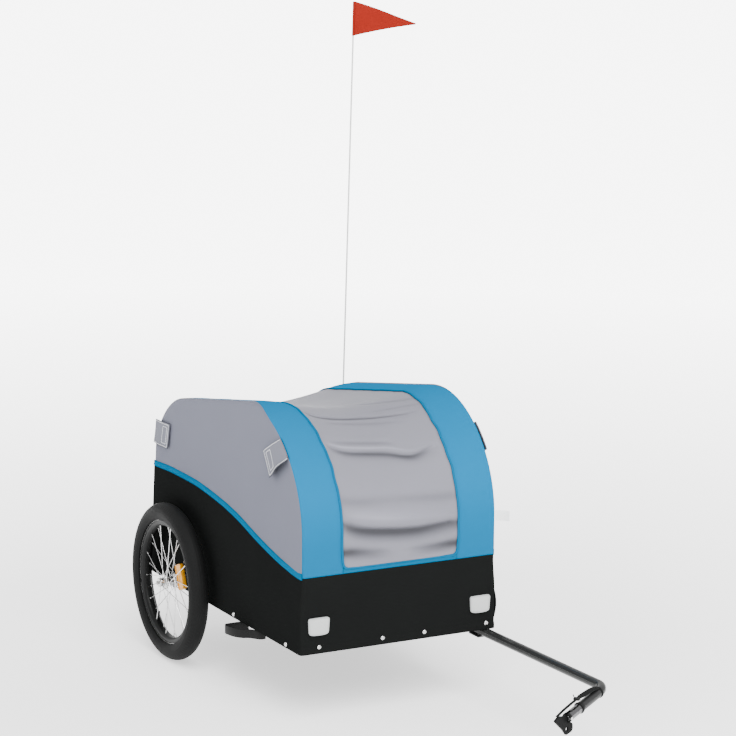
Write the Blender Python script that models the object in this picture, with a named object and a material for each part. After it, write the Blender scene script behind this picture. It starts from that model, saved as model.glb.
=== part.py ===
"""Child bike trailer: a covered two-wheel trailer with a folding tow bar and a flag.

Metres, +Z up. Pieces are drawn in body coordinates: x to the right as seen from the front, y
rearwards from the front panel, z up from the ground. Left and right in the names are as seen from
the front. The last step moves the origin to the ground below the axle line.
"""

import math

import bpy
import numpy as np
from mathutils import Matrix, Vector

GAP = 0.0003
RUNNING_CLEARANCE = 0.0001
ROUND = 24
X_AXIS, Y_AXIS, Z_AXIS = Vector((1, 0, 0)), Vector((0, 1, 0)), Vector((0, 0, 1))

# Lower body
TUB_HALF_WIDTH = 0.2635
TUB_LENGTH = 0.875
TUB_BOTTOM = 0.173
TUB_WALL = 0.003
TUB_CORNER = 0.012
TUB_CORNER_REACH = 0.030
REAR_LEAN = 0.084
COVER_FRONT_Z = 0.357
SEAM = (
    (0.0, 0.357),
    (0.033, 0.358),
    (0.106, 0.369),
    (0.181, 0.384),
    (0.258, 0.403),
    (0.336, 0.425),
    (0.416, 0.441),
    (0.497, 0.452),
    (0.581, 0.461),
    (0.666, 0.463),
    (0.753, 0.464),
    (0.860, 0.459),
)
SEAM_LAP = 0.018
PIPING_HEIGHT = 0.011
PIPING_STAND = 0.0005
CORNER_ROOM = 0.005
FRONT_RIVETS_X = (0.0485 - TUB_HALF_WIDTH, -0.047, 0.066, TUB_HALF_WIDTH - 0.0275)
SIDE_RIVETS_Y = (0.076, 0.363)
FRONT_RIVET_Z = 0.189
SIDE_RIVET_Z = 0.182
RIVET_SHAFT = 0.0022
RIVET_HEAD = 0.0055
RIVET_DOME = 0.0032
REFLECTOR_X = TUB_HALF_WIDTH - 0.0465
REFLECTOR_Z = 0.240
REFLECTOR_HALF_TOP = 0.0275
REFLECTOR_HALF_FOOT = 0.0255
REFLECTOR_HALF_HEIGHT = 0.0200
REFLECTOR_CORNER = 0.005
REFLECTOR_BOW = 0.0022
REFLECTOR_THICKNESS = 0.006
STRAP_LOOP_WIDTH = 0.025
STRAP_LOOP_FOOT_Z = 0.175
STRAP_LOOP_TOP_Z = 0.278
STRAP_LOOP_BOW = 0.0095

# Wheels
TYRE_RADIUS = 0.200
TYRE_SECTION = 0.025
TYRE_WALL = 0.003
TUBE_SECTION = 0.0145
WHEEL_X = TUB_HALF_WIDTH + 0.0415
AXLE_Y = TUB_LENGTH - 0.222
AXLE_Z = TYRE_RADIUS
RIM_RADIUS = TYRE_RADIUS - 0.042
RIM_INNER_RADIUS = RIM_RADIUS - 0.016
RIM_HALF_WIDTH = 0.013
RIM_WALL = 0.0015
RIM_WELL = RIM_RADIUS - 0.0085
HUB_HALF_WIDTH = 0.0275
HUB_FLANGE_X = 0.0150
HUB_FLANGE_WIDTH = 0.0032
HUB_FLANGE_RADIUS = 0.019
HUB_BARREL_RADIUS = 0.0130
HUB_CAP_RADIUS = 0.0105
SPOKES_PER_SIDE = 14
SPOKE_RADIUS = 0.001
AXLE_RADIUS = 0.00635
AXLE_HEAD_RADIUS = 0.0115
AXLE_HEAD_LENGTH = 0.003
BUTTON_RADIUS = 0.0032
BUTTON_HEAD_RADIUS = 0.0050
BUTTON_TRAVEL = 0.003
VALVE_TURN = math.radians(35)
VALVE_RADIUS = 0.0032
VALVE_HOLE_RADIUS = 0.0036
VALVE_TIP = RIM_INNER_RADIUS - 0.024
VALVE_ROOT = RIM_RADIUS + 0.005
WHEEL_REFLECTOR_MIDDLE = 0.074
WHEEL_REFLECTOR_TURN = math.radians(22)
WHEEL_REFLECTOR_HALF_OUT = 0.017
WHEEL_REFLECTOR_HALF_TALL = 0.032
WHEEL_REFLECTOR_HALF_THICK = 0.0058
WHEEL_REFLECTOR_CORNER = 0.006
WHEEL_STEPS = 28

# Cover
COVER_HALF_WIDTH = TUB_HALF_WIDTH - 0.007
CLOTH = 0.002
COVER_SAG = 0.034
SAG_START = 0.10
SAG_RUN = 0.30
SAG_SHAPE = 2.2
BAND_ROOM = 0.0006
DOOR_HALF_WIDTH = 0.152
ZIP_WIDTH = 0.0075
DOOR_BOTTOM_Z = 0.371
DOOR_TOP_Y = 0.300
DOOR_FOLD_HANG = 0.010
DOOR_FOLDS = ((0.425, 0.016, 0.0035), (0.295, 0.012, 0.0050), (0.090, 0.018, 0.0070), (0.030, 0.010, 0.0035))
FRONT_CURVE = ((0.0, 0.45), (0.0, 0.6085), (0.15, 0.7445), (0.300, 0.722))
ROOF_REAR = (TUB_LENGTH - 0.185, 0.6600)
REAR_TOP = (TUB_LENGTH - 0.0275, 0.500)
REAR_CURVE = (ROOF_REAR, (TUB_LENGTH - 0.112, 0.6484), (TUB_LENGTH - 0.0334, 0.571), REAR_TOP)
REAR_FOOT = (TUB_LENGTH - 0.0242, 0.4593)
STATION_SPACING = 0.045
DOOR_STATION_SPACING = 0.020
FRONT_TAB = ((0.194, 0.625), (0.117, 0.654), (0.078, 0.616), (0.156, 0.572))
REAR_TAB = (
    (TUB_LENGTH - 0.046, 0.545),
    (TUB_LENGTH - 0.060, 0.573),
    (TUB_LENGTH - 0.142, 0.585),
    (TUB_LENGTH - 0.129, 0.522),
    (TUB_LENGTH - 0.037, 0.519),
)
LABEL_ROOT = (COVER_HALF_WIDTH + 0.0008, 0.001)
LABEL_TIP = (COVER_HALF_WIDTH + 0.028, -0.020)
LABEL_FOOT_Z = 0.440
LABEL_TOP_Z = 0.465
LABEL_THICKNESS = 0.001

# Frame tubes
RAIL_SIZE = 0.020
RAIL_X = TUB_HALF_WIDTH - 0.017
RAIL_Z = 0.187
CROSSBAR_FRONT_Y = 0.0135
CROSSBAR_REAR_Y = TUB_LENGTH - 0.018
HOOP_RADIUS = 0.0075
HOOP_X = COVER_HALF_WIDTH - 0.011
HOOP_INSET = 0.0135
HOOP_FRONT_S = 0.060
HOOP_REAR_ROOM = 0.055
HOOP_STATION_SPACING = 0.060
HOOP_FOOT_RISE = 0.012
ROOF_TUBE_RADIUS = 0.006
ROOF_TUBE_END_ROOM = 0.0012
ROOF_TUBE_ROOM = 0.0006
BOARD_THICKNESS = 0.006
BOARD_TOP = 0.192
RECEIVER_RADIUS = 0.011
RECEIVER_ROOM = 0.002
GUARD_REACH_X = WHEEL_X + 0.003
GUARD_REAR_Y = AXLE_Y - 0.325
GUARD_CORNER_Y = GUARD_REAR_Y - 0.010
GUARD_FRONT_Y = GUARD_REAR_Y - 0.098
GUARD_CURVE_X = 0.034
GUARD_CURVE_Y = 0.062
GUARD_THICKNESS = 0.0035
GUARD_HEIGHT = 0.022
GUARD_FOOT_HALF = 0.006
GUARD_FOOT_RISE = 0.004

# Tow arm
BAR_RADIUS = 0.0115
BAR_Z = 0.161
PIVOT = (TUB_HALF_WIDTH - 0.021, 0.045)
PIVOT_PIN_RADIUS = 0.004
PIN_HEAD_RADIUS = 0.0070
PIN_HEAD_HEIGHT = 0.003
BRACKET_WALL = 0.0032
BRACKET_BACK = 0.026
BRACKET_FRONT = 0.018
BRACKET_HALF_WIDTH = 0.012
BEND = (TUB_HALF_WIDTH - 0.005, -0.487)
BEND_RADIUS = 0.040
BEND_STEPS = 7
LEG = (-0.128, -0.064, -0.0255)
BAR_LEG_END = 0.100
COLLAR_RADIUS = 0.0130
COLLAR_END_RADIUS = 0.0110
COLLAR_FLOOR = 0.004
STUB_RADIUS = 0.0045
BARREL_START = 0.116
BARREL_END = 0.170
BARREL_RADIUS = 0.0095
FORK_RING_RADIUS = 0.0105
FORK_RING_LENGTH = 0.017
FORK_SLOT_LENGTH = 0.019
HITCH_PIN_AT = 0.164
HITCH_PIN_RADIUS = 0.003
HITCH_PIN_HEAD_RADIUS = 0.0045
HITCH_PIN_HALF_LENGTH = 0.0112
PLATE_THICKNESS = 0.005
PLATE_HOLE_RADIUS = 0.0050
PLATE_HOLE_AT = (0.008, -0.024)
PLATE_OUTLINE = (
    (-0.0070, 0.0040),
    (-0.0040, 0.0070),
    (0.0100, 0.0085),
    (0.0370, 0.0200),
    (0.0550, 0.0160),
    (0.0270, -0.0160),
    (0.0130, -0.0370),
    (-0.0100, -0.0385),
    (-0.0165, -0.0335),
    (-0.0175, -0.0210),
    (-0.0085, -0.0140),
    (-0.0070, -0.0040),
)
STRAP_HALF_WIDTH = 0.0075
STRAP_THICKNESS = 0.0016
STRAP_BAND = (0.026, 0.041)
STRAP_BAND_THICKNESS = 0.0022
STRAP_ROUTE = (
    (0.030, 0.0128),
    (0.042, 0.0160),
    (0.060, 0.0190),
    (0.083, 0.0215),
    (0.105, 0.0240),
    (0.120, 0.0250),
    (0.150, 0.0245),
    (0.183, 0.0235),
)

# Flag
POLE_RADIUS = 0.0023
POLE_FOOT = (TUB_HALF_WIDTH + 0.0087, TUB_LENGTH - 0.040, 0.215)
POLE_LEAN = 0.025
POLE_TOP_Z = 1.636
SOCKET_BELOW = 0.006
SOCKET_ABOVE = 0.060
SOCKET_FLOOR = 0.0055
FLAG_FOOT_Z = 1.546
FLAG_TIP = (0.101, -0.145)
FLAG_THICKNESS = 0.001
FLAG_RIPPLE = 0.003
FLAG_TAPER = 0.96
FLAG_COLUMNS = 15


def clear_scene():
    for obj in list(bpy.data.objects):
        bpy.data.objects.remove(obj, do_unlink=True)


def material(name, colour, roughness, metallic=0.0):
    """One plain surface, shared by the pieces of the same stuff."""
    made = bpy.data.materials.get(name)
    if made:
        return made
    made = bpy.data.materials.new(name)
    made.use_nodes = True
    shader = made.node_tree.nodes["Principled BSDF"]
    shader.inputs["Base Color"].default_value = (*colour, 1.0)
    shader.inputs["Roughness"].default_value = roughness
    shader.inputs["Metallic"].default_value = metallic
    made.diffuse_color = (*colour, 1.0)
    return made


def black_cloth():
    return material("black_cloth", (0.018, 0.020, 0.020), 0.85)


def grey_cloth():
    return material("grey_cloth", (0.36, 0.37, 0.41), 0.85)


def blue_cloth():
    return material("blue_cloth", (0.022, 0.50, 0.86), 0.75)


def black_paint():
    return material("black_paint", (0.012, 0.013, 0.013), 0.30)


def steel():
    return material("steel", (0.58, 0.58, 0.57), 0.28, 1.0)


def black_plastic():
    return material("black_plastic", (0.015, 0.015, 0.016), 0.45)


def white_plastic():
    return material("white_plastic", (0.72, 0.74, 0.73), 0.30)


def orange_plastic():
    return material("orange_plastic", (0.72, 0.25, 0.02), 0.25)


def rubber():
    return material("rubber", (0.020, 0.020, 0.020), 0.80)


def red_cloth():
    return material("red_cloth", (0.60, 0.035, 0.020), 0.75)


def board():
    return material("board", (0.05, 0.05, 0.05), 0.70)


def new_object(name, points, faces, surface, smooth=False):
    """A piece in body coordinates. Smooth pieces keep their sharp edges sharp."""
    mesh = bpy.data.meshes.new(name)
    mesh.from_pydata([tuple(map(float, p)) for p in points], [], [tuple(map(int, f)) for f in faces])
    mesh.validate()
    if smooth:
        mesh.shade_smooth()
        mesh.set_sharp_from_angle(angle=math.radians(40))
    obj = bpy.data.objects.new(name, mesh)
    bpy.context.scene.collection.objects.link(obj)
    if surface:
        mesh.materials.append(surface)
    return obj


def set_origin(obj, point):
    """The piece stays where it is and its origin goes to the point."""
    obj.data.transform(Matrix.Translation(-Vector(point)))
    obj.location = point
    return obj


def prism(name, outline, frame, low, high, surface, smooth=False):
    """The outline, in the frame's first two directions, drawn out along the third."""
    across, up, along = (Vector(v) for v in frame)
    if area(outline) * across.cross(up).dot(along) < 0:
        outline = outline[::-1]
    points = [across * a + up * b + along * level for level in (low, high) for a, b in outline]
    count = len(outline)
    faces = [tuple(range(count))[::-1], tuple(range(count, 2 * count))]
    for i in range(count):
        j = (i + 1) % count
        faces.append((i, j, count + j, count + i))
    return new_object(name, points, faces, surface, smooth)


def area(outline):
    """The outline's area, negative where it turns right."""
    ring = [*outline, outline[0]]
    return sum(a[0] * b[1] - b[0] * a[1] for a, b in zip(ring, ring[1:])) / 2


def circle(radius, steps=ROUND, centre=(0.0, 0.0)):
    turns = [2 * math.pi * i / steps for i in range(steps)]
    return [(centre[0] + radius * math.cos(t), centre[1] + radius * math.sin(t)) for t in turns]


def box(name, low, high, surface):
    outline = [(low[0], low[1]), (high[0], low[1]), (high[0], high[1]), (low[0], high[1])]
    return prism(name, outline, (X_AXIS, Y_AXIS, Z_AXIS), low[2], high[2], surface)


def directions(along):
    """Two directions square to this one, the second as upright as it can be."""
    along = Vector(along).normalized()
    side = along.cross(Z_AXIS)
    side = X_AXIS.copy() if side.length < 1e-6 else side.normalized()
    return side, side.cross(along).normalized(), along


def turned(name, centre, along, profile, surface, steps=ROUND):
    """A closed outline of (distance along, radius) turned about a line through the centre."""
    side, up, along = directions(along)
    centre = Vector(centre)
    points, rings = [], []
    for distance, radius in profile:
        middle = centre + along * distance
        if radius < 1e-9:
            rings.append([len(points)])
            points.append(middle)
            continue
        ring = []
        for a, b in circle(radius, steps):
            ring.append(len(points))
            points.append(middle + side * a + up * b)
        rings.append(ring)
    faces = []
    pairs = list(zip(rings, rings[1:] + rings[:1]))
    for first, second in pairs:
        if len(first) == 1 and len(second) == 1:
            continue
        for i in range(steps):
            j = (i + 1) % steps
            corners = [first[i % len(first)], first[j % len(first)]]
            corners += [second[j % len(second)], second[i % len(second)]]
            faces.append(tuple(dict.fromkeys(corners)))
    obj = new_object(name, points, faces, surface, True)
    return face_outwards(obj)


def face_outwards(obj):
    mesh = obj.data
    mesh.calc_loop_triangles()
    points = np.array([v.co for v in mesh.vertices])
    corners = points[np.array([t.vertices[:] for t in mesh.loop_triangles])]
    if np.linalg.det(corners).sum() < 0:
        mesh.flip_normals()
    return obj


def rod(name, start, end, radius, surface, steps=ROUND):
    start, end = Vector(start), Vector(end)
    length = (end - start).length
    return turned(name, start, end - start, [(0, 0), (0, radius), (length, radius), (length, 0)], surface, steps)


def tube_along(name, path, radius, surface, steps=12, scale=(1.0, 1.0)):
    """A round or flattened bar along a path, its rings turned as little as they can be."""
    path = [Vector(p) for p in path]
    tangents = []
    for i in range(len(path)):
        ahead = path[min(i + 1, len(path) - 1)] - path[i]
        behind = path[i] - path[max(i - 1, 0)]
        tangents.append((ahead.normalized() + behind.normalized()).normalized())
    side, up, _ = directions(tangents[0])
    points, faces = [], []
    for middle, tangent in zip(path, tangents):
        side = (side - tangent * side.dot(tangent)).normalized()
        up = side.cross(tangent).normalized()
        for a, b in circle(radius, steps):
            points.append(middle + side * a * scale[0] + up * b * scale[1])
    for ring in range(len(path) - 1):
        for i in range(steps):
            j = (i + 1) % steps
            low, high = ring * steps, (ring + 1) * steps
            faces.append((low + i, low + j, high + j, high + i))
    faces.append(tuple(range(steps))[::-1])
    faces.append(tuple(range(len(points) - steps, len(points))))
    return face_outwards(new_object(name, points, faces, surface, True))


def sheet(name, outer, inner, surface, smooth=True):
    """The closed solid between two grids of points of the same shape."""
    outer, inner = np.asarray(outer, float), np.asarray(inner, float)
    rows, columns = outer.shape[:2]
    points = np.concatenate([outer.reshape(-1, 3), inner.reshape(-1, 3)])
    number = np.arange(rows * columns).reshape(rows, columns)
    back = number + rows * columns
    faces = []
    for r in range(rows - 1):
        for c in range(columns - 1):
            faces.append((number[r, c], number[r, c + 1], number[r + 1, c + 1], number[r + 1, c]))
            faces.append((back[r + 1, c], back[r + 1, c + 1], back[r, c + 1], back[r, c]))
    rim = list(number[0, :]) + list(number[1:, -1]) + list(number[-1, -2::-1]) + list(number[-2:0:-1, 0])
    for a, b in zip(rim, rim[1:] + rim[:1]):
        faces.append((b, a, a + rows * columns, b + rows * columns))
    return face_outwards(new_object(name, points, faces, surface, smooth))


def cutter(obj):
    """Hides a helper, so that only what it cuts or joins is part of the model."""
    obj.hide_render = True
    obj.display_type = "WIRE"
    return obj


def combine(obj, others, operation):
    for other in others:
        cutter(other)
        step = obj.modifiers.new(operation.lower(), "BOOLEAN")
        step.operation = operation
        step.solver = "EXACT"
        step.object = other
    return obj


def bezier(start, first, second, end, steps):
    t = np.linspace(0.0, 1.0, steps)[:, None]
    corners = [np.array(p) for p in (start, first, second, end)]
    weights = ((1 - t) ** 3, 3 * t * (1 - t) ** 2, 3 * t**2 * (1 - t), t**3)
    return sum(w * c for w, c in zip(weights, corners))


def smoothstep(t):
    t = np.clip(t, 0.0, 1.0)
    return t * t * (3 - 2 * t)


class Profile:
    """The cover's outline seen from the side, from the front hem over the roof to the rear hem."""

    def __init__(self):
        straight = np.linspace((0.0, COVER_FRONT_Z), FRONT_CURVE[0], 8)
        front = bezier(*FRONT_CURVE, 60)
        roof = np.linspace(FRONT_CURVE[-1], ROOF_REAR, 16)
        rear = bezier(*REAR_CURVE, 40)
        self.points = np.concatenate([straight, front[1:], roof[1:], rear[1:], [REAR_FOOT]])
        steps = np.linalg.norm(np.diff(self.points, axis=0), axis=1)
        self.at = np.concatenate([[0.0], np.cumsum(steps)])
        self.length = self.at[-1]

    def point(self, s):
        return np.stack([np.interp(s, self.at, self.points[:, k]) for k in (0, 1)], axis=-1)

    def normal(self, s):
        ahead = self.point(np.minimum(s + 0.004, self.length))
        behind = self.point(np.maximum(s - 0.004, 0))
        along = ahead - behind
        along /= np.linalg.norm(along, axis=-1, keepdims=True)
        return np.stack([-along[..., 1], along[..., 0]], axis=-1)

    def station(self, y):
        """How far along the outline the roof reaches this y."""
        roof = self.points[:, 1] > 0.60
        return float(np.interp(y, self.points[roof, 0], self.at[roof]))

    def sag(self, x, s):
        """The hang between the hoops: deepest in the middle and nought at the four edges."""
        width = np.clip(1 - (x / COVER_HALF_WIDTH) ** 2, 0.0, 1.0) ** SAG_SHAPE
        ramp = smoothstep((s - SAG_START) / SAG_RUN) * smoothstep((self.length - s) / SAG_RUN)
        return COVER_SAG * width * ramp

    def surface(self, x, s, depth=0.0, tight=False):
        """Points of the cover's outer face at x and s, or of a face this deep below it."""
        x, s = np.broadcast_arrays(x, s)
        drop = depth + (0.0 if tight else self.sag(x, s))
        spot = self.point(s) - self.normal(s) * np.asarray(drop)[..., None]
        return np.stack([x, spot[..., 0], spot[..., 1]], axis=-1)


PROFILE = Profile()
DOOR_TOP_S = PROFILE.station(DOOR_TOP_Y)


def seam_height(y):
    """Height of the seam between the black lower body and the grey sides."""
    return float(np.interp(y, [p[0] for p in SEAM], [p[1] for p in SEAM]))


def seam_line(front, rear):
    """Points of the seam between two values of y."""
    inside = [p[0] for p in SEAM if front < p[0] < rear]
    return [(y, seam_height(y)) for y in [front, *inside, rear]]


def rear_wall(z):
    """Where the rear wall's outer face stands at this height."""
    return TUB_LENGTH - REAR_LEAN * (z - TUB_BOTTOM)


def stations(start, end, spacing):
    """Evenly spaced values from start to end, about this far apart."""
    return np.linspace(start, end, max(2, round((end - start) / spacing) + 1))


COVER_STATIONS = stations(GAP, PROFILE.length, STATION_SPACING)


def cover_strip(name, x_values, s_values, surface, depth=0.0):
    """A strip of the cover's cloth between these stations."""
    x, s = np.meshgrid(x_values, s_values)
    outer = PROFILE.surface(x, s, depth)
    inner = PROFILE.surface(x, s, depth + CLOTH)
    return sheet(name, outer, inner, surface)


def side_band(name, side):
    inside = DOOR_HALF_WIDTH + ZIP_WIDTH + 2 * GAP
    x = side * np.linspace(inside, COVER_HALF_WIDTH, 4)
    return cover_strip(name, x, COVER_STATIONS, blue_cloth())


def roof_panel():
    half = DOOR_HALF_WIDTH + ZIP_WIDTH + GAP
    x = np.linspace(-half, half, 7)
    s = stations(DOOR_TOP_S + 2 * GAP, PROFILE.length, STATION_SPACING)
    return cover_strip("roof_panel", x, s, grey_cloth())


def door_folds(x, s):
    """How far the hanging door's cloth stands in from the cover's line: two deep sagging creases
    below the roof, one dark fold above the hem and a small one on it."""
    across = x / DOOR_HALF_WIDTH
    hang = DOOR_FOLD_HANG * (1 - across**2)
    edge = (1 - across**2) ** 0.5
    folds = 0.0
    for middle, width, depth in DOOR_FOLDS:
        folds = folds + depth * np.exp(-(((s - middle + hang) / width) ** 2))
    return folds * edge


def front_door():
    s_values = stations(DOOR_BOTTOM_Z - COVER_FRONT_Z, DOOR_TOP_S, DOOR_STATION_SPACING)
    angles = np.linspace(-math.pi / 2, math.pi / 2, 15)
    x, s = np.meshgrid(DOOR_HALF_WIDTH * np.sin(angles), s_values)
    folds = door_folds(x, s)
    outer = PROFILE.surface(x, s, folds)
    inner = PROFILE.surface(x, s, folds + CLOTH)
    door = sheet("front_door", outer, inner, grey_cloth())
    hinge = PROFILE.surface(np.array(DOOR_HALF_WIDTH), np.array(DOOR_TOP_S))
    return set_origin(door, (0.0, float(hinge[1]), float(hinge[2])))


def zip_grids():
    """The zip's outer and inner points: rows of four, the foot first, then up both legs."""
    outside, inside = DOOR_HALF_WIDTH + ZIP_WIDTH + GAP, DOOR_HALF_WIDTH + GAP
    s_values = stations(DOOR_BOTTOM_Z - COVER_FRONT_Z - GAP, DOOR_TOP_S, 2 * DOOR_STATION_SPACING)
    s_rows = np.concatenate([[GAP], s_values])
    outer = PROFILE.surface(*np.meshgrid([-outside, -inside, inside, outside], s_rows))
    inner = outer.copy()
    inner[..., 1:] -= CLOTH * PROFILE.normal(s_rows)[:, None, :]
    return outer, inner


def zip_faces(rows):
    """Faces of a U-shaped strip between two grids of rows by four points."""
    offset = rows * 4
    corners = [(0, 1), (1, 2), (2, 3)]
    corners += [(row * 4 + column, row * 4 + column + 1) for row in range(1, rows - 1) for column in (0, 2)]
    faces = []
    for a, b in corners:
        faces.append((a, b, b + 4, a + 4))
        faces.append((a + 4 + offset, b + 4 + offset, b + offset, a + offset))
    last = (rows - 1) * 4
    rim = [0, 1, 2, 3] + [row * 4 + 3 for row in range(1, rows)]
    rim += [last + 2] + [row * 4 + 2 for row in range(rows - 2, 0, -1)]
    rim += [row * 4 + 1 for row in range(1, rows)]
    rim += [last] + [row * 4 for row in range(rows - 2, 0, -1)]
    for a, b in zip(rim, rim[1:] + rim[:1]):
        faces.append((b, a, a + offset, b + offset))
    return faces


def door_zip():
    """One strip down the door's left side, along its bottom and up its right side."""
    outer, inner = zip_grids()
    points = np.concatenate([outer.reshape(-1, 3), inner.reshape(-1, 3)])
    return face_outwards(new_object("door_zip", points, zip_faces(len(outer)), blue_cloth()))


def side_panel(name, side):
    """The grey side, from just below the seam up to the underside of the band."""
    depth = CLOTH + GAP + BAND_ROOM
    rim = PROFILE.surface(np.zeros(len(COVER_STATIONS)), COVER_STATIONS, depth, tight=True)[:, 1:]
    outline = [tuple(p) for p in rim]
    front, rear = outline[0][0] + CORNER_ROOM, outline[-1][0] - CORNER_ROOM
    below = [(rear, outline[-1][1])]
    below += [(y, z - SEAM_LAP) for y, z in seam_line(front, rear)[::-1]]
    below.append((front, outline[0][1]))
    frame = (Y_AXIS, Z_AXIS, X_AXIS)
    high = side * COVER_HALF_WIDTH
    low = side * (COVER_HALF_WIDTH - CLOTH)
    return prism(name, outline + below, frame, min(low, high), max(low, high), grey_cloth())


def side_piping(name, side):
    """The blue roll sewn over the seam."""
    front, rear = TUB_WALL, rear_wall(SEAM[-1][1]) - GAP
    lower = [(y, z + GAP) for y, z in seam_line(front, rear)]
    upper = [(y, z + PIPING_HEIGHT) for y, z in lower[::-1]]
    low, high = sorted((side * (COVER_HALF_WIDTH + GAP), side * (TUB_HALF_WIDTH + PIPING_STAND)))
    return prism(name, lower + upper, (Y_AXIS, Z_AXIS, X_AXIS), low, high, blue_cloth())


def corner_outline():
    """Plan of the front lower panel: straight across, then round both corners."""
    def path(half, inset):
        radius = TUB_CORNER - inset
        centre = TUB_HALF_WIDTH - TUB_CORNER
        turns = np.linspace(0.0, math.pi / 2, 5)
        right = [(half, TUB_CORNER_REACH)]
        right += [(centre + radius * math.cos(t), TUB_CORNER - radius * math.sin(t)) for t in turns]
        return right + [(-x, y) for x, y in right[::-1]]
    return path(TUB_HALF_WIDTH, 0.0) + path(TUB_HALF_WIDTH - TUB_WALL, TUB_WALL)[::-1]


def front_panel():
    top = COVER_FRONT_Z - GAP
    obj = prism("front_panel", corner_outline(), (X_AXIS, Y_AXIS, Z_AXIS), TUB_BOTTOM, top, black_cloth())
    holes = []
    for number, x in enumerate(FRONT_RIVETS_X):
        holes.append(rivet_hole(f"front_hole_{number}", (x, 0.0, FRONT_RIVET_Z), Y_AXIS))
    return combine(obj, holes, "DIFFERENCE")


def rear_panel():
    top = seam_height(TUB_LENGTH) - GAP
    outline = [(x, -y) for x, y in corner_outline()]
    obj = prism("rear_panel", outline, (X_AXIS, Y_AXIS, Z_AXIS), TUB_BOTTOM, top, black_cloth())
    for vertex in obj.data.vertices:
        vertex.co.y += rear_wall(vertex.co.z)
    return obj


def rivet_hole(name, at, along):
    middle = Vector(at)
    reach = along * (3 * TUB_WALL)
    return rod(name, middle - reach, middle + reach, RIVET_SHAFT + GAP, None, 12)


def side_lower_panel(name, side):
    front = TUB_CORNER_REACH + GAP
    lower = [(front, TUB_BOTTOM), (TUB_LENGTH - TUB_CORNER_REACH - GAP, TUB_BOTTOM)]
    rear = rear_wall(SEAM[-1][1]) - TUB_CORNER_REACH - GAP
    upper = seam_line(front, rear)[::-1]
    low, high = sorted((side * (TUB_HALF_WIDTH - TUB_WALL), side * TUB_HALF_WIDTH))
    obj = prism(name, lower + upper, (Y_AXIS, Z_AXIS, X_AXIS), low, high, black_cloth())
    cuts = []
    for number, y in enumerate(SIDE_RIVETS_Y):
        at = (side * TUB_HALF_WIDTH, y, SIDE_RIVET_Z)
        cuts.append(rivet_hole(f"{name}_hole_{number}", at, X_AXIS))
    outer = side * (TUB_HALF_WIDTH + 3 * TUB_WALL)
    inner = side * (TUB_HALF_WIDTH - 3 * TUB_WALL)
    ends = ((inner, AXLE_Y, AXLE_Z), (outer, AXLE_Y, AXLE_Z))
    cuts.append(rod(f"{name}_axle_hole", *ends, RECEIVER_RADIUS + 2 * GAP, None))
    return combine(obj, cuts, "DIFFERENCE")


def tab(name, side, corners):
    """A flat webbing tab lying on the side panel."""
    low, high = sorted((side * (COVER_HALF_WIDTH + GAP), side * (COVER_HALF_WIDTH + GAP + CLOTH)))
    return prism(name, corners, (Y_AXIS, Z_AXIS, X_AXIS), low, high, grey_cloth())


def blank_label():
    """A folded white label sewn in the right side seam, standing out from it."""
    root, tip = Vector(LABEL_ROOT), Vector(LABEL_TIP)
    along = (tip - root).normalized()
    across = Vector((-along.y, along.x)) * LABEL_THICKNESS / 2
    outline = [tuple(p) for p in (root - across, tip - across, tip + across, root + across)]
    return prism("blank_label", outline, (X_AXIS, Y_AXIS, Z_AXIS), LABEL_FOOT_Z, LABEL_TOP_Z, white_plastic())


def strap_loop():
    """A webbing loop standing off the right side at the front corner."""
    heights = np.linspace(STRAP_LOOP_FOOT_Z, STRAP_LOOP_TOP_Z, 11)
    bow = STRAP_LOOP_BOW * np.sin(np.pi * np.linspace(0, 1, 11)) ** 0.7
    outside = [(TUB_HALF_WIDTH + GAP + CLOTH + b, z) for b, z in zip(bow, heights)]
    inside = [(x - CLOTH, z) for x, z in outside]
    start = TUB_CORNER_REACH + GAP
    frame = (X_AXIS, Z_AXIS, Y_AXIS)
    return prism("strap_loop", outside + inside[::-1], frame, start, start + STRAP_LOOP_WIDTH, black_cloth())


def reflector_outline():
    """A rounded plate, a little narrower at the foot, with a bowed lower edge."""
    top, foot, tall, corner = REFLECTOR_HALF_TOP, REFLECTOR_HALF_FOOT, REFLECTOR_HALF_HEIGHT, REFLECTOR_CORNER
    cut = 0.3 * corner
    right = [(top - corner, tall), (top - cut, tall - cut), (top, tall - corner)]
    right += [(foot, corner - tall), (foot - cut, 0.24 * corner - tall), (foot - corner, -0.08 * corner - tall)]
    right += [(foot / 2, -tall - 0.8 * REFLECTOR_BOW), (0.0, -tall - REFLECTOR_BOW)]
    return right + [(-x, z) for x, z in right[-2::-1]]


def front_reflector(name, side):
    outline = [(side * REFLECTOR_X + x, REFLECTOR_Z + z) for x, z in reflector_outline()]
    frame = (X_AXIS, Z_AXIS, Y_AXIS)
    return prism(name, outline, frame, -GAP - REFLECTOR_THICKNESS, -GAP, white_plastic())


# Frame

def rivet(name, at, outward, reach):
    """A dome-headed rivet from inside the tube out through the cloth."""
    profile = [(-reach, 0), (-reach, RIVET_SHAFT), (0, RIVET_SHAFT), (0, RIVET_HEAD)]
    profile += [(0.47 * RIVET_DOME, 0.85 * RIVET_HEAD), (0.88 * RIVET_DOME, 0.45 * RIVET_HEAD), (RIVET_DOME, 0)]
    return turned(name, Vector(at) + outward * GAP, outward, profile, steel(), 12)


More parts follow.
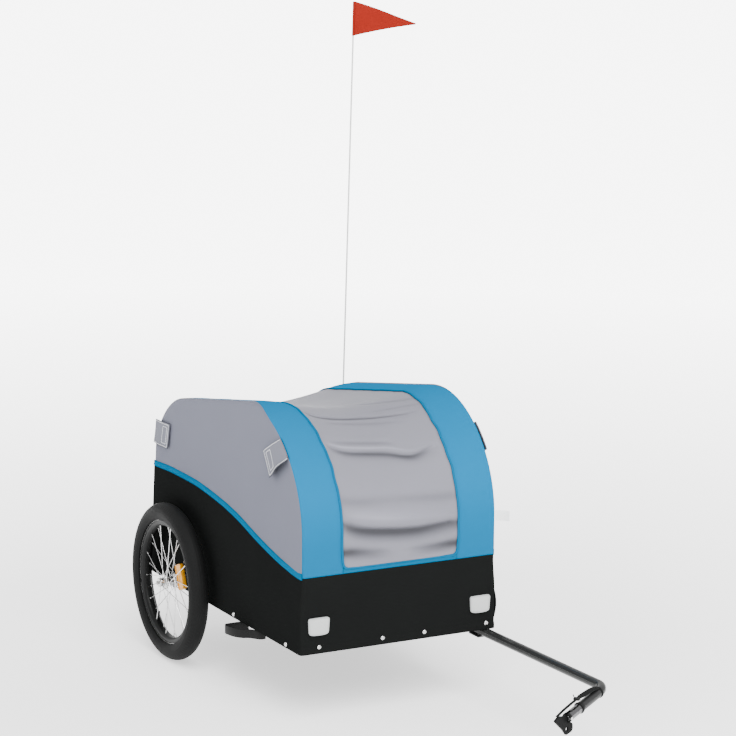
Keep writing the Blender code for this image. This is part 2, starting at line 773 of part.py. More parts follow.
def rail(name, side):
    """A square tube with a saddle for the axle receiver and the rivets that hold the cloth."""
    half = RAIL_SIZE / 2
    front, rear = CROSSBAR_FRONT_Y + half + GAP, CROSSBAR_REAR_Y - half - GAP
    x = side * RAIL_X
    obj = box(name, (x - half, front, RAIL_Z - half), (x + half, rear, RAIL_Z + half), steel())
    ends = ((x - RAIL_SIZE, AXLE_Y, AXLE_Z), (x + RAIL_SIZE, AXLE_Y, AXLE_Z))
    saddle = rod(f"{name}_saddle", *ends, RECEIVER_RADIUS + GAP, None)
    combine(obj, [saddle], "DIFFERENCE")
    rivets = []
    for number, y in enumerate(SIDE_RIVETS_Y):
        at = (side * TUB_HALF_WIDTH, y, SIDE_RIVET_Z)
        rivets.append(rivet(f"{name}_rivet_{number}", at, X_AXIS * side, TUB_HALF_WIDTH - RAIL_X))
    return combine(obj, rivets, "UNION")


def crossbar(name, y):
    half, wide = RAIL_SIZE / 2, HOOP_X + HOOP_RADIUS + 2 * GAP
    return box(name, (-wide, y - half, RAIL_Z - half), (wide, y + half, RAIL_Z + half), steel())


def front_crossbar():
    obj = crossbar("base_crossbar_front", CROSSBAR_FRONT_Y)
    rivets = []
    for number, x in enumerate(FRONT_RIVETS_X):
        at = (x, 0.0, FRONT_RIVET_Z)
        rivets.append(rivet(f"front_rivet_{number}", at, -Y_AXIS, CROSSBAR_FRONT_Y))
    return combine(obj, rivets, "UNION")


def side_hoop(name, side):
    """A bent tube that stands on both crossbars and carries the cover's edge."""
    foot = RAIL_Z + RAIL_SIZE / 2 + GAP
    s_values = stations(HOOP_FRONT_S, PROFILE.length - HOOP_REAR_ROOM, HOOP_STATION_SPACING)
    arch = PROFILE.surface(np.full(len(s_values), side * HOOP_X), s_values, HOOP_INSET, tight=True)
    feet = []
    for y in (CROSSBAR_FRONT_Y, CROSSBAR_REAR_Y):
        feet.append([(side * HOOP_X, y, foot), (side * HOOP_X, y, foot + HOOP_FOOT_RISE)])
    path = feet[0] + [tuple(p) for p in arch] + feet[1][::-1]
    return tube_along(name, path, HOOP_RADIUS, steel(), 8)


def roof_crossbar():
    """A bowed tube between the hoops that carries the sagging roof near its rear edge."""
    half = HOOP_X - HOOP_RADIUS - ROOF_TUBE_END_ROOM
    x = np.linspace(-half, half, 13)
    depth = CLOTH + GAP + ROOF_TUBE_RADIUS + ROOF_TUBE_ROOM
    path = PROFILE.surface(x, np.full(len(x), PROFILE.station(ROOF_REAR[0])), depth)
    return tube_along("roof_crossbar", path, ROOF_TUBE_RADIUS, steel(), 8)


def floor_board():
    half = RAIL_X - RAIL_SIZE / 2 - 2 * GAP
    front = CROSSBAR_FRONT_Y + RAIL_SIZE / 2 + 2 * GAP
    rear = CROSSBAR_REAR_Y - RAIL_SIZE / 2 - 2 * GAP
    return box("floor_board", (-half, front, BOARD_TOP - BOARD_THICKNESS), (half, rear, BOARD_TOP), board())


def axle_receiver(name, side):
    """A sleeve welded in the rail's saddle, where the wheel's axle plugs in."""
    inner, outer = RAIL_X - RAIL_SIZE / 2, WHEEL_X - HUB_HALF_WIDTH - RECEIVER_ROOM
    bore = AXLE_RADIUS + RUNNING_CLEARANCE
    profile = [(inner, bore), (inner, RECEIVER_RADIUS), (outer, RECEIVER_RADIUS), (outer, bore)]
    return turned(name, (0, AXLE_Y, AXLE_Z), X_AXIS * side, profile, steel())


def guard_outline():
    """Plan of the right guard: out from the rail on a quarter curve, then back to the rail."""
    inside, start = RAIL_X - GUARD_FOOT_HALF, RAIL_X + GUARD_FOOT_HALF + 0.002
    wide, thick = GUARD_REACH_X, GUARD_THICKNESS
    turns = np.linspace(0, math.pi / 2, 7)
    across = [wide - GUARD_CURVE_X * (1 - math.sin(t)) for t in turns]
    outer = [(inside, GUARD_FRONT_Y), (start, GUARD_FRONT_Y)]
    outer += [(x, GUARD_CORNER_Y - GUARD_CURVE_Y * math.cos(t)) for x, t in zip(across, turns)]
    outer += [(wide - 0.003, GUARD_REAR_Y - 0.001), (wide - 0.008, GUARD_REAR_Y), (inside, GUARD_REAR_Y)]
    curve_y = GUARD_CURVE_Y - 0.004
    inner = [(x - thick, GUARD_CORNER_Y + 0.001 - curve_y * math.cos(t)) for x, t in zip(across, turns)]
    inner = [(inside, GUARD_FRONT_Y + thick), (start, GUARD_FRONT_Y + thick)] + inner
    inner += [(wide - 0.008, GUARD_REAR_Y - thick), (inside, GUARD_REAR_Y - thick)]
    return outer + inner[::-1]


def wheel_guard(name, side):
    """A flat bar bent out round the front of the wheel, with two feet under the rail."""
    outline = [(side * x, y) for x, y in guard_outline()]
    bottom = TUB_BOTTOM - GUARD_HEIGHT
    obj = prism(name, outline, (X_AXIS, Y_AXIS, Z_AXIS), bottom, TUB_BOTTOM - GAP, black_paint())
    left, right = sorted((side * (RAIL_X - GUARD_FOOT_HALF), side * (RAIL_X + GUARD_FOOT_HALF)))
    feet = []
    for number, y in enumerate((GUARD_FRONT_Y, GUARD_REAR_Y - GUARD_THICKNESS)):
        low = (left, y, bottom + GUARD_FOOT_RISE)
        high = (right, y + GUARD_THICKNESS, RAIL_Z - RAIL_SIZE / 2 - GAP)
        feet.append(box(f"{name}_foot_{number}", low, high, black_paint()))
    return combine(obj, feet, "UNION")


def bracket_heights():
    """The bracket's foot and top, which hold the bar between them."""
    reach = BAR_RADIUS + 2 * GAP + BRACKET_WALL
    return BAR_Z - reach, BAR_Z + reach


def tow_bracket():
    """A channel under the right front corner, open to the front and inwards for the bar."""
    x, y = PIVOT
    low, high = bracket_heights()
    back, front, wall = y + BRACKET_BACK, y - BRACKET_FRONT, BRACKET_WALL
    inner_low, inner_high, inner_back = low + wall, high - wall, back - wall
    outline = [(front, low), (back, low), (back, high), (front, high), (front, inner_high)]
    outline += [(inner_back, inner_high), (inner_back, inner_low), (front, inner_low)]
    left, right = x - BRACKET_HALF_WIDTH, x + BRACKET_HALF_WIDTH + 0.0005
    obj = prism("tow_bracket", outline, (Y_AXIS, Z_AXIS, X_AXIS), left, right, black_paint())
    bore = PIVOT_PIN_RADIUS + RUNNING_CLEARANCE
    hole = rod("bracket_hole", (x, y, low - 0.01), (x, y, high + 0.01), bore, None)
    return combine(obj, [hole], "DIFFERENCE")


def tow_pivot_pin():
    """A headed pin up through the bracket and the bar."""
    low, high = bracket_heights()
    head, tall = PIN_HEAD_RADIUS, PIN_HEAD_HEIGHT
    profile = [(0, 0), (0, head - 0.0015), (0.001, head), (tall, head), (tall, PIVOT_PIN_RADIUS)]
    length = high - low + tall + GAP
    profile += [(length, PIVOT_PIN_RADIUS), (length, 0)]
    return turned("tow_pivot_pin", (*PIVOT, low - tall - GAP), Z_AXIS, profile, steel())


# Tow arm

def leg_point(distance):
    """A point of the leg's line, this far from the bend's corner."""
    return Vector((*BEND, BAR_Z)) + Vector(LEG).normalized() * distance


def bar_path():
    """The bar's line from behind the pivot, round the bend and along the leg."""
    corner, start = Vector((*BEND, BAR_Z)), Vector((*PIVOT, BAR_Z))
    first, second = (corner - start).normalized(), Vector(LEG).normalized()
    turn = first.angle(second)
    reach = BEND_RADIUS * math.tan(turn / 2)
    centre = corner + (second - first).normalized() * (BEND_RADIUS / math.cos(turn / 2))
    spoke_out = corner - first * reach - centre
    hinge = first.cross(second).normalized()
    turns = np.linspace(0.0, turn, BEND_STEPS)
    arc = [centre + Matrix.Rotation(t, 3, hinge) @ spoke_out for t in turns]
    straight = [start + first * distance for distance in (-0.012, -0.006, 0.10, 0.30)]
    return straight + arc + [leg_point(BAR_LEG_END)]


def tow_bar():
    """A round tube from the pivot forwards, then bent inwards along the leg."""
    start = Vector((*PIVOT, BAR_Z))
    obj = tube_along("tow_bar", bar_path(), BAR_RADIUS, black_paint(), 16)
    high, low = start + Z_AXIS * 0.02, start - Z_AXIS * 0.02
    hole = rod("tow_bar_hole", low, high, PIVOT_PIN_RADIUS + RUNNING_CLEARANCE, None)
    return combine(set_origin(obj, start), [hole], "DIFFERENCE")


def tow_bar_collar():
    """The moulded end of the bar, in which the hitch barrel turns."""
    start, end = BAR_LEG_END + GAP, BARREL_START - GAP
    length, socket, ease = end - start, STUB_RADIUS + RUNNING_CLEARANCE, COLLAR_RADIUS - COLLAR_END_RADIUS
    profile = [(0, 0), (0, COLLAR_END_RADIUS), (ease, COLLAR_RADIUS), (length - ease, COLLAR_RADIUS)]
    profile += [(length, COLLAR_END_RADIUS), (length, socket), (COLLAR_FLOOR, socket), (COLLAR_FLOOR, 0)]
    obj = turned("tow_bar_collar", leg_point(start), LEG, profile, black_plastic())
    return set_origin(obj, (*PIVOT, BAR_Z))


def hitch_barrel():
    """A silver barrel on a stub that turns in the collar, forked at its front end."""
    length = BARREL_END - BARREL_START
    stub = BARREL_START - BAR_LEG_END - COLLAR_FLOOR - 0.002
    ring = length - FORK_RING_LENGTH
    profile = [(-stub, 0), (-stub, STUB_RADIUS), (0, STUB_RADIUS), (0, BARREL_RADIUS)]
    profile += [(ring - 0.001, BARREL_RADIUS), (ring, FORK_RING_RADIUS), (length, FORK_RING_RADIUS), (length, 0)]
    obj = turned("hitch_barrel", leg_point(BARREL_START), LEG, profile, steel())
    side, up, along = directions(LEG)
    half, reach = PLATE_THICKNESS / 2 + GAP, 0.03
    outline = [(-half, -reach), (half, -reach), (half, reach), (-half, reach)]
    slot = prism("barrel_slot", outline, (side, up, along), -FORK_SLOT_LENGTH, reach, None)
    slot.data.transform(Matrix.Translation(leg_point(BARREL_END)))
    pin = leg_point(HITCH_PIN_AT)
    hole = rod("barrel_hole", pin - side * 0.02, pin + side * 0.02, HITCH_PIN_RADIUS + GAP, None, 16)
    return combine(set_origin(obj, leg_point(BARREL_START)), [slot, hole], "DIFFERENCE")


def hitch_pin():
    """The cross pin on which the plate tilts, with a head at one end."""
    side, _, _ = directions(LEG)
    half, shaft, head = HITCH_PIN_HALF_LENGTH, HITCH_PIN_RADIUS, HITCH_PIN_HEAD_RADIUS
    end = half + 0.002
    profile = [(-half, 0), (-half, shaft), (half, shaft), (half, head), (end, head), (end, 0)]
    obj = turned("hitch_pin", leg_point(HITCH_PIN_AT), side, profile, steel(), 16)
    return set_origin(obj, leg_point(BARREL_START))


def hitch_plate():
    """A flat plate that tilts on the pin, with the hole for the bicycle's axle."""
    side, up, along = directions(LEG)
    pin = leg_point(HITCH_PIN_AT)
    half = PLATE_THICKNESS / 2
    obj = prism("hitch_plate", PLATE_OUTLINE, (along, up, side), -half, half, black_paint())
    obj.data.transform(Matrix.Translation(pin))
    axle_at = pin + along * PLATE_HOLE_AT[0] + up * PLATE_HOLE_AT[1]
    reach = side * 0.01
    pin_hole = rod("plate_pin_hole", pin - reach, pin + reach, HITCH_PIN_RADIUS + RUNNING_CLEARANCE, None)
    axle_hole = rod("plate_axle_hole", axle_at - reach, axle_at + reach, PLATE_HOLE_RADIUS, None)
    return combine(set_origin(obj, pin), [pin_hole, axle_hole], "DIFFERENCE")


def safety_strap():
    """Webbing from a loop round the bar near its bend, along the leg above the barrel."""
    side, up, along = directions(LEG)
    upper = [(d, h + STRAP_THICKNESS) for d, h in STRAP_ROUTE]
    outline = upper + list(STRAP_ROUTE[::-1])
    frame = (along, up, side)
    strap = prism("safety_strap", outline, frame, -STRAP_HALF_WIDTH, STRAP_HALF_WIDTH, black_cloth())
    strap.data.transform(Matrix.Translation(leg_point(0.0)))
    start, end = STRAP_BAND
    inner = BAR_RADIUS + GAP
    outer = inner + STRAP_BAND_THICKNESS
    band = [(start, inner), (start, outer), (end, outer), (end, inner)]
    loop = turned("strap_band", leg_point(0.0), LEG, band, black_cloth())
    combine(strap, [loop], "UNION")
    return set_origin(strap, (*PIVOT, BAR_Z))


# Flag

def pole_point(z):
    """A point of the leaning pole at this height."""
    return Vector((POLE_FOOT[0] + POLE_LEAN * (z - POLE_FOOT[2]), POLE_FOOT[1], z))


def flag_pole():
    obj = rod("flag_pole", pole_point(POLE_FOOT[2]), pole_point(POLE_TOP_Z), POLE_RADIUS, white_plastic(), 12)
    return set_origin(obj, pole_point(POLE_FOOT[2]))


def flag_socket():
    """A short tube with a pad against the side, closed at its foot."""
    low, high = POLE_FOOT[2] - SOCKET_BELOW, POLE_FOOT[2] + SOCKET_ABOVE
    foot, along = pole_point(low), pole_point(high) - pole_point(low)
    length = along.length
    bore = POLE_RADIUS + RUNNING_CLEARANCE
    outer = foot.x - TUB_HALF_WIDTH - GAP
    profile = [(0, 0), (0, outer), (length, outer), (length, bore), (SOCKET_FLOOR, bore), (SOCKET_FLOOR, 0)]
    return turned("flag_socket", foot, along, profile, black_plastic())


def flag():
    """A pointed pennant that stands out from the pole with a slight ripple."""
    out = Vector((*FLAG_TIP, 0.0))
    across = Vector((-out.y, out.x, 0.0)).normalized()
    middle, half = (POLE_TOP_Z + FLAG_FOOT_Z) / 2, (POLE_TOP_Z - FLAG_FOOT_Z) / 2
    grids = []
    for face in (0.5, -0.5):
        columns = []
        for t in np.linspace(0.0, 1.0, FLAG_COLUMNS):
            ripple = FLAG_RIPPLE * math.sin(2.2 * math.pi * t) * t
            shift = out * t + out.normalized() * (POLE_RADIUS + GAP)
            shift += across * (ripple + face * FLAG_THICKNESS)
            heights = [middle + v * half * (1 - FLAG_TAPER * t) for v in (-1.0, 0.0, 1.0)]
            columns.append([pole_point(z) + shift for z in heights])
        grids.append(np.array(columns).transpose(1, 0, 2))
    obj = sheet("flag", grids[0], grids[1], red_cloth())
    return set_origin(obj, pole_point(POLE_FOOT[2]))


# Wheels

def wheel_centre(side):
    return Vector((side * WHEEL_X, AXLE_Y, AXLE_Z))


def tyre(name, side):
    """The cover of the wheel: a section open towards the rim, its beads inside the rim's edges."""
    middle = TYRE_RADIUS - TYRE_SECTION
    bead_out, bead_in = RIM_HALF_WIDTH - RIM_WALL - GAP, RIM_HALF_WIDTH - RIM_WALL - TYRE_WALL
    foot, neck = RIM_WELL + 0.003, RIM_RADIUS + 2 * GAP

    def arc(radius, degrees):
        turns = [math.radians(d) for d in degrees]
        return [(radius * math.cos(t), middle + radius * math.sin(t)) for t in turns]

    outer = [(bead_out, foot), (bead_out, neck)] + arc(TYRE_SECTION, (-38, 5, 50, 90))
    inner = [(bead_in, foot), (bead_in, neck + 0.0015)] + arc(TYRE_SECTION - TYRE_WALL, (-38, 20, 90))
    profile = outer + mirrored(outer[:-1]) + [(-a, r) for a, r in inner] + inner[-2::-1]
    centre = wheel_centre(side)
    return set_origin(turned(name, centre, X_AXIS, profile, rubber(), WHEEL_STEPS), centre)


def mirrored(half):
    return [(-a, r) for a, r in half[::-1]]


def valve_ends(side, start, end):
    """Two points on the valve's line, these distances from the wheel's centre."""
    down = Vector((0.0, math.sin(VALVE_TURN), -math.cos(VALVE_TURN)))
    centre = wheel_centre(side)
    return centre + down * start, centre + down * end


def inner_tube(name, side):
    """The air tube, with the valve that comes through the rim."""
    middle = TYRE_RADIUS - TYRE_SECTION + 0.001
    turns = np.linspace(0, 2 * math.pi, 7)[:-1]
    profile = [(TUBE_SECTION * math.cos(t), middle + TUBE_SECTION * math.sin(t)) for t in turns]
    centre = wheel_centre(side)
    obj = turned(name, centre, X_AXIS, profile, rubber(), 20)
    valve = rod(f"{name}_valve", *valve_ends(side, VALVE_TIP, VALVE_ROOT), VALVE_RADIUS, rubber(), 10)
    return combine(set_origin(obj, centre), [valve], "UNION")


def rim(name, side):
    """The rim: a well between two straight edges, with a hole for the valve."""
    wide = RIM_HALF_WIDTH
    half = [(0.007, RIM_INNER_RADIUS), (wide, RIM_INNER_RADIUS + 0.006), (wide, RIM_RADIUS)]
    half += [(wide - RIM_WALL, RIM_RADIUS), (wide - RIM_WALL, RIM_WELL + 0.002), (0.006, RIM_WELL)]
    centre = wheel_centre(side)
    obj = turned(name, centre, X_AXIS, half + mirrored(half), black_paint(), WHEEL_STEPS)
    ends = valve_ends(side, RIM_INNER_RADIUS - 0.012, RIM_RADIUS + 0.012)
    hole = rod(f"{name}_valve_hole", *ends, VALVE_HOLE_RADIUS, None, 10)
    return combine(set_origin(obj, centre), [hole], "DIFFERENCE")


def hub(name, side):
    """A flanged hub with its laced spokes, which end just short of the rim."""
    bore, end, flange = AXLE_RADIUS + RUNNING_CLEARANCE, HUB_HALF_WIDTH, HUB_FLANGE_X
    half = [(end, bore), (end, HUB_CAP_RADIUS), (flange, HUB_CAP_RADIUS), (flange, HUB_FLANGE_RADIUS)]
    inside = flange - HUB_FLANGE_WIDTH
    half += [(inside, HUB_FLANGE_RADIUS), (inside, HUB_BARREL_RADIUS)]
    centre = wheel_centre(side)
    obj = set_origin(turned(name, centre, X_AXIS, half + mirrored(half), steel()), centre)
    spokes = []
    for face in (-1, 1):
        for number in range(SPOKES_PER_SIDE):
            turn = 2 * math.pi * (number + (0.25 if face > 0 else 0.75)) / SPOKES_PER_SIDE
            spokes.append(spoke(f"{name}_spoke_{face}_{number}", centre, face, turn))
    return combine(obj, spokes, "UNION")


def spoke(name, centre, face, turn):
    """A wire from a flange to just below the rim's flat-sided inner face."""
    out = Vector((0.0, math.cos(turn), math.sin(turn)))
    flange_middle = HUB_FLANGE_X - HUB_FLANGE_WIDTH / 2
    reach = RIM_INNER_RADIUS * math.cos(math.pi / WHEEL_STEPS) - 2 * GAP
    start = centre + X_AXIS * face * flange_middle + out * (HUB_FLANGE_RADIUS - 0.004)
    end = centre + X_AXIS * face * 0.0040 + out * reach
    return rod(name, start, end, SPOKE_RADIUS, steel(), 4)


def axle(name, side):
    """A hollow axle with a head outside the hub, which plugs into the receiver."""
    inner, head = RAIL_X - RAIL_SIZE / 2 + 0.001, WHEEL_X + HUB_HALF_WIDTH + GAP
    bore, wide, end = BUTTON_RADIUS + RUNNING_CLEARANCE, AXLE_HEAD_RADIUS, head + AXLE_HEAD_LENGTH
    profile = [(inner, bore), (inner, AXLE_RADIUS), (head, AXLE_RADIUS), (head, wide)]
    profile += [(end - 0.001, wide), (end, wide - 0.0015), (end, bore)]
    return turned(name, (0, AXLE_Y, AXLE_Z), X_AXIS * side, profile, steel())


def release_button(name, side):
    """The push button in the axle's end."""
    inner = RAIL_X - RAIL_SIZE / 2 + 0.006
    face = WHEEL_X + HUB_HALF_WIDTH + GAP + AXLE_HEAD_LENGTH
    head, outer, wide = face + BUTTON_TRAVEL + GAP, face + BUTTON_TRAVEL + 0.0015, BUTTON_HEAD_RADIUS
    profile = [(inner, 0), (inner, BUTTON_RADIUS), (head, BUTTON_RADIUS), (head, wide), (outer, wide)]
    profile += [(outer + 0.0008, wide - 0.001), (outer + 0.0008, 0)]
    obj = turned(name, (0, AXLE_Y, AXLE_Z), X_AXIS * side, profile, black_plastic())
    return set_origin(obj, (side * head, AXLE_Y, AXLE_Z))


def wheel_reflector(name, side):
    """A tall plate held between the two rows of spokes, a little above the hub's front at rest."""
    wide, tall, cut = WHEEL_REFLECTOR_HALF_OUT, WHEEL_REFLECTOR_HALF_TALL, WHEEL_REFLECTOR_CORNER
    outline = [(-wide, cut - tall), (-wide, tall - cut), (cut - wide, tall), (wide - cut, tall)]
    outline += [(-y, -z) for y, z in outline]
    outline = [(y - WHEEL_REFLECTOR_MIDDLE, z) for y, z in outline]
    half = WHEEL_REFLECTOR_HALF_THICK
    obj = prism(name, outline, (Y_AXIS, Z_AXIS, X_AXIS), -half, half, orange_plastic())
    centre = wheel_centre(side)
    turned_up = Matrix.Rotation(-WHEEL_REFLECTOR_TURN, 4, X_AXIS)
    obj.data.transform(Matrix.Translation(centre) @ turned_up)
    return set_origin(obj, centre)


def move_origin_to_axle_line():
    for obj in bpy.data.objects:
        obj.location.y -= AXLE_Y


def build_frame():
    for word, side in (("left", -1), ("right", 1)):
        rail(f"base_rail_{word}", side)
        side_hoop(f"side_hoop_{word}", side)
        axle_receiver(f"axle_receiver_{word}", side)
        wheel_guard(f"wheel_guard_{word}", side)
    front_crossbar()
    crossbar("base_crossbar_rear", CROSSBAR_REAR_Y)
    roof_crossbar()
    floor_board()
    tow_bracket()
    tow_pivot_pin()
    flag_socket()


def build_cover():
    for word, side in (("left", -1), ("right", 1)):
        side_panel(f"side_panel_{word}", side)
        side_band(f"side_band_{word}", side)
        side_piping(f"side_piping_{word}", side)
        side_lower_panel(f"lower_panel_{word}", side)
        tab(f"front_tab_{word}", side, FRONT_TAB)
        tab(f"rear_tab_{word}", side, REAR_TAB)
        front_reflector(f"front_reflector_{word}", side)
    roof_panel()
    front_door()
    door_zip()
    front_panel()
    rear_panel()
    blank_label()
    strap_loop()


def build_tow_arm():
    tow_bar()
    tow_bar_collar()
    hitch_barrel()
    hitch_pin()
    hitch_plate()
    safety_strap()


def build_wheels():
    for word, side in (("left", -1), ("right", 1)):
        tyre(f"{word}_tyre", side)
        inner_tube(f"{word}_inner_tube", side)
        rim(f"{word}_rim", side)
        hub(f"{word}_hub", side)
        axle(f"{word}_axle", side)
        release_button(f"{word}_release_button", side)
        wheel_reflector(f"{word}_wheel_reflector", side)


clear_scene()
build_frame()
build_cover()
build_tow_arm()
build_wheels()
flag_pole()
flag()
move_origin_to_axle_line()
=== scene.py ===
"""Looks of the child bike trailer: cloth cover, wheels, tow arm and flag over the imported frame.

Shapes are worked out in body coordinates (x across, y rearwards from the front panel, z up from
the ground) and set down in the shared frame, whose origin lies below the axle line.
"""

from __future__ import annotations

import logging
import math
from collections.abc import Sequence
from dataclasses import dataclass, field
from enum import Enum

import bmesh
import bpy
import numpy as np
from mathutils import Matrix, Vector

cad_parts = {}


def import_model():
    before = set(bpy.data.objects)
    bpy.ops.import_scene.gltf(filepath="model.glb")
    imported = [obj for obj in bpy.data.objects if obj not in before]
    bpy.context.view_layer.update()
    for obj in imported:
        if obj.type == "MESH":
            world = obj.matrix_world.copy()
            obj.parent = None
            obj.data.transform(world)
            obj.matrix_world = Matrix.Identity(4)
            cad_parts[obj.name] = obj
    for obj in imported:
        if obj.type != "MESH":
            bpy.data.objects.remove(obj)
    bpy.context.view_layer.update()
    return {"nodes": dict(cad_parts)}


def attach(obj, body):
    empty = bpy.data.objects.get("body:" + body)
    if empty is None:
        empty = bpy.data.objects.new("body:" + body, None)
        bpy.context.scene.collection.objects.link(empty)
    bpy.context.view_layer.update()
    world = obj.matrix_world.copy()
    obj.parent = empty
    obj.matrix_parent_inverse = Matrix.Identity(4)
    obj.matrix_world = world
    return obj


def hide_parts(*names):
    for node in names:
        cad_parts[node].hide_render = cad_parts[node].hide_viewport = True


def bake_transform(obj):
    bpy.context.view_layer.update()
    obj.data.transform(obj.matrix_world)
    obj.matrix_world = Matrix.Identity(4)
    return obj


Array = np.ndarray
Socket = bpy.types.NodeSocket
Colour = tuple[float, float, float]
Point = tuple[float, float]

log = logging.getLogger("trailer")

MM = 0.001
WELD, SLIVER = 2e-6, 1e-7
AXLE_Y = 0.653
BODY = "trailer_frame"
CLOTH = 0.0012


class Side(Enum):
    """The two sides of the trailer, as seen from its front."""

    LEFT = -1
    RIGHT = 1

    @property
    def word(self) -> str:
        """The side's word in piece names."""
        return self.name.lower()


# Finishes


class Weaver:
    """Writes the nodes of one material around a Principled shader."""

    def __init__(self, name: str) -> None:
        """Start a material of this name."""
        self.material = bpy.data.materials.new(name)
        self.material.use_nodes = True
        self.tree = self.material.node_tree
        self.shader = self.tree.nodes["Principled BSDF"]

    def put(self, socket: str, value: object) -> None:
        """Set or link one of the shader's own sockets."""
        self.feed(self.shader.inputs[socket], value)

    def add(
        self, kind: str, inputs: dict[str | int, object] | None = None, **settings: object
    ) -> bpy.types.Node:
        """Add a node.

        Args:
            kind: Blender's node type.
            inputs: Values or sockets for its inputs, by name or number.
            **settings: Attributes of the node.

        Returns:
            The new node.
        """
        node = self.tree.nodes.new(kind)
        for key, value in settings.items():
            setattr(node, key, value)
        for key, value in (inputs or {}).items():
            self.feed(node.inputs[key], value)
        return node

    def feed(self, socket: Socket, value: object) -> None:
        """Link an output to this socket, or set its value."""
        if isinstance(value, Socket):
            self.tree.links.new(value, socket)
        else:
            socket.default_value = value

    def math(self, operation: str, first: object, second: object = 0.0) -> Socket:
        """One step of arithmetic on two values or sockets."""
        return self.add("ShaderNodeMath", {0: first, 1: second}, operation=operation).outputs[0]

    def noise(self, coordinates: Socket, scale: float, detail: float = 3.0) -> Socket:
        """Cloudy values about one half."""
        inputs = {"Vector": coordinates, "Scale": scale, "Detail": detail}
        return self.add("ShaderNodeTexNoise", inputs).outputs["Fac"]

    def ramp(self, value: object, low: float, high: float) -> Socket:
        """A value between nought and one carried to the span from low to high."""
        inputs = {"Value": value, "To Min": low, "To Max": high}
        return self.add("ShaderNodeMapRange", inputs).outputs[0]

    def tint(self, colour: Colour, factor: Socket) -> None:
        """The colour, brighter or darker by the factor, on the shader's base colour."""
        inputs = {0: colour, "Scale": factor}
        self.put("Base Color", self.add("ShaderNodeVectorMath", inputs, operation="SCALE").outputs[0])

    def bump(self, height: Socket, distance: float, strength: float = 1.0) -> None:
        """Relief on the shader's normal, with its height in metres."""
        inputs = {"Height": height, "Distance": distance, "Strength": strength}
        self.put("Normal", self.add("ShaderNodeBump", inputs).outputs[0])

    def object_place(self) -> Socket:
        """Object coordinates, in metres."""
        return self.add("ShaderNodeTexCoord").outputs["Object"]

    def surface_place(self) -> Socket:
        """The piece's own UV map, laid out in metres."""
        return self.add("ShaderNodeTexCoord").outputs["UV"]


@dataclass(frozen=True)
class Cloth:
    """Woven cloth: threads that pass over and under, a slight mottle and a soft sheen.

    The piece's shade attribute paints shade into its fold valleys and seams, highlights onto ridges.
    """

    name: str
    slot: str
    colour: Colour
    thread: float = 0.0009
    roughness: float = 0.82
    sheen: float = 0.0
    mottle: float = 0.05
    relief: float = 0.00010
    specular: float = 0.0

    def build(self) -> bpy.types.Material:
        """Make the material, with its weave on the piece's UV map."""
        w = Weaver(self.name)
        place, here = w.surface_place(), w.object_place()
        split = w.add("ShaderNodeSeparateXYZ", {0: place})
        turns = math.pi / self.thread
        warp = w.math("SINE", w.math("MULTIPLY", split.outputs[0], turns))
        weft = w.math("SINE", w.math("MULTIPLY", split.outputs[1], turns))
        weave = w.math("MULTIPLY", warp, weft)
        cloud = w.noise(here, 9.0, 4.0)
        fibre = w.noise(here, 900.0, 2.0)
        patches = w.ramp(cloud, 1 - self.mottle, 1 + self.mottle)
        shade = w.math("ADD", patches, w.math("MULTIPLY", weave, 0.06))
        shade = w.math("ADD", shade, w.ramp(fibre, -0.05, 0.05))
        # The shade attribute: painted shade and painted highlights of the piece.
        painted_shade = w.add("ShaderNodeAttribute", attribute_name="shade").outputs["Fac"]
        w.tint(self.colour, w.math("MULTIPLY", shade, painted_shade))
        w.bump(w.math("ADD", weave, w.math("MULTIPLY", fibre, 0.6)), self.relief, 0.8)
        w.put("Roughness", w.ramp(cloud, self.roughness - 0.06, self.roughness + 0.06))
        w.put("Sheen Weight", self.sheen)
        w.put("Sheen Roughness", 0.4)
        w.put("Specular IOR Level", self.specular)
        return w.material


@dataclass(frozen=True)
class Paint:
    """Powder coat or moulded plastic: fine orange peel and faint handling marks."""

    name: str
    slot: str
    colour: Colour
    roughness: float
    peel: float = 0.00002
    peel_scale: float = 700.0
    specular: float = 0.5

    def build(self) -> bpy.types.Material:
        """Make the material."""
        w = Weaver(self.name)
        here = w.object_place()
        marks = w.noise(here, 22.0, 5.0)
        w.tint(self.colour, w.ramp(marks, 0.92, 1.08))
        w.put("Roughness", w.ramp(marks, self.roughness - 0.07, self.roughness + 0.10))
        w.bump(w.noise(here, self.peel_scale, 2.0), self.peel, 0.7)
        w.put("Specular IOR Level", self.specular)
        return w.material


@dataclass(frozen=True)
class Metal:
    """Bare metal with fine scratches that run one way."""

    name: str
    slot: str
    colour: Colour
    roughness: float
    scratch: tuple[float, float, float] = (40.0, 900.0, 900.0)

    def build(self) -> bpy.types.Material:
        """Make the material."""
        w = Weaver(self.name)
        here = w.object_place()
        stretched = w.add("ShaderNodeMapping", {"Vector": here, "Scale": self.scratch}).outputs[0]
        lines = w.noise(stretched, 1.0, 4.0)
        w.tint(self.colour, w.ramp(lines, 0.86, 1.10))
        w.put("Roughness", w.ramp(lines, self.roughness - 0.08, self.roughness + 0.12))
        w.bump(lines, 0.00001, 0.6)
        w.put("Metallic", 1.0)
        return w.material


@dataclass(frozen=True)
class Tyre:
    """Dull rubber, a little dusty in patches."""

    name: str
    slot: str
    colour: Colour

    def build(self) -> bpy.types.Material:
        """Make the material."""
        w = Weaver(self.name)
        here = w.object_place()
        dust, grain = w.noise(here, 14.0, 5.0), w.noise(here, 1200.0, 3.0)
        w.tint(self.colour, w.math("ADD", w.ramp(dust, 0.75, 1.35), w.ramp(grain, -0.15, 0.15)))
        w.put("Roughness", w.ramp(dust, 0.55, 0.72))
        w.bump(grain, 0.00004, 0.8)
        w.put("Specular IOR Level", 0.07)
        return w.material


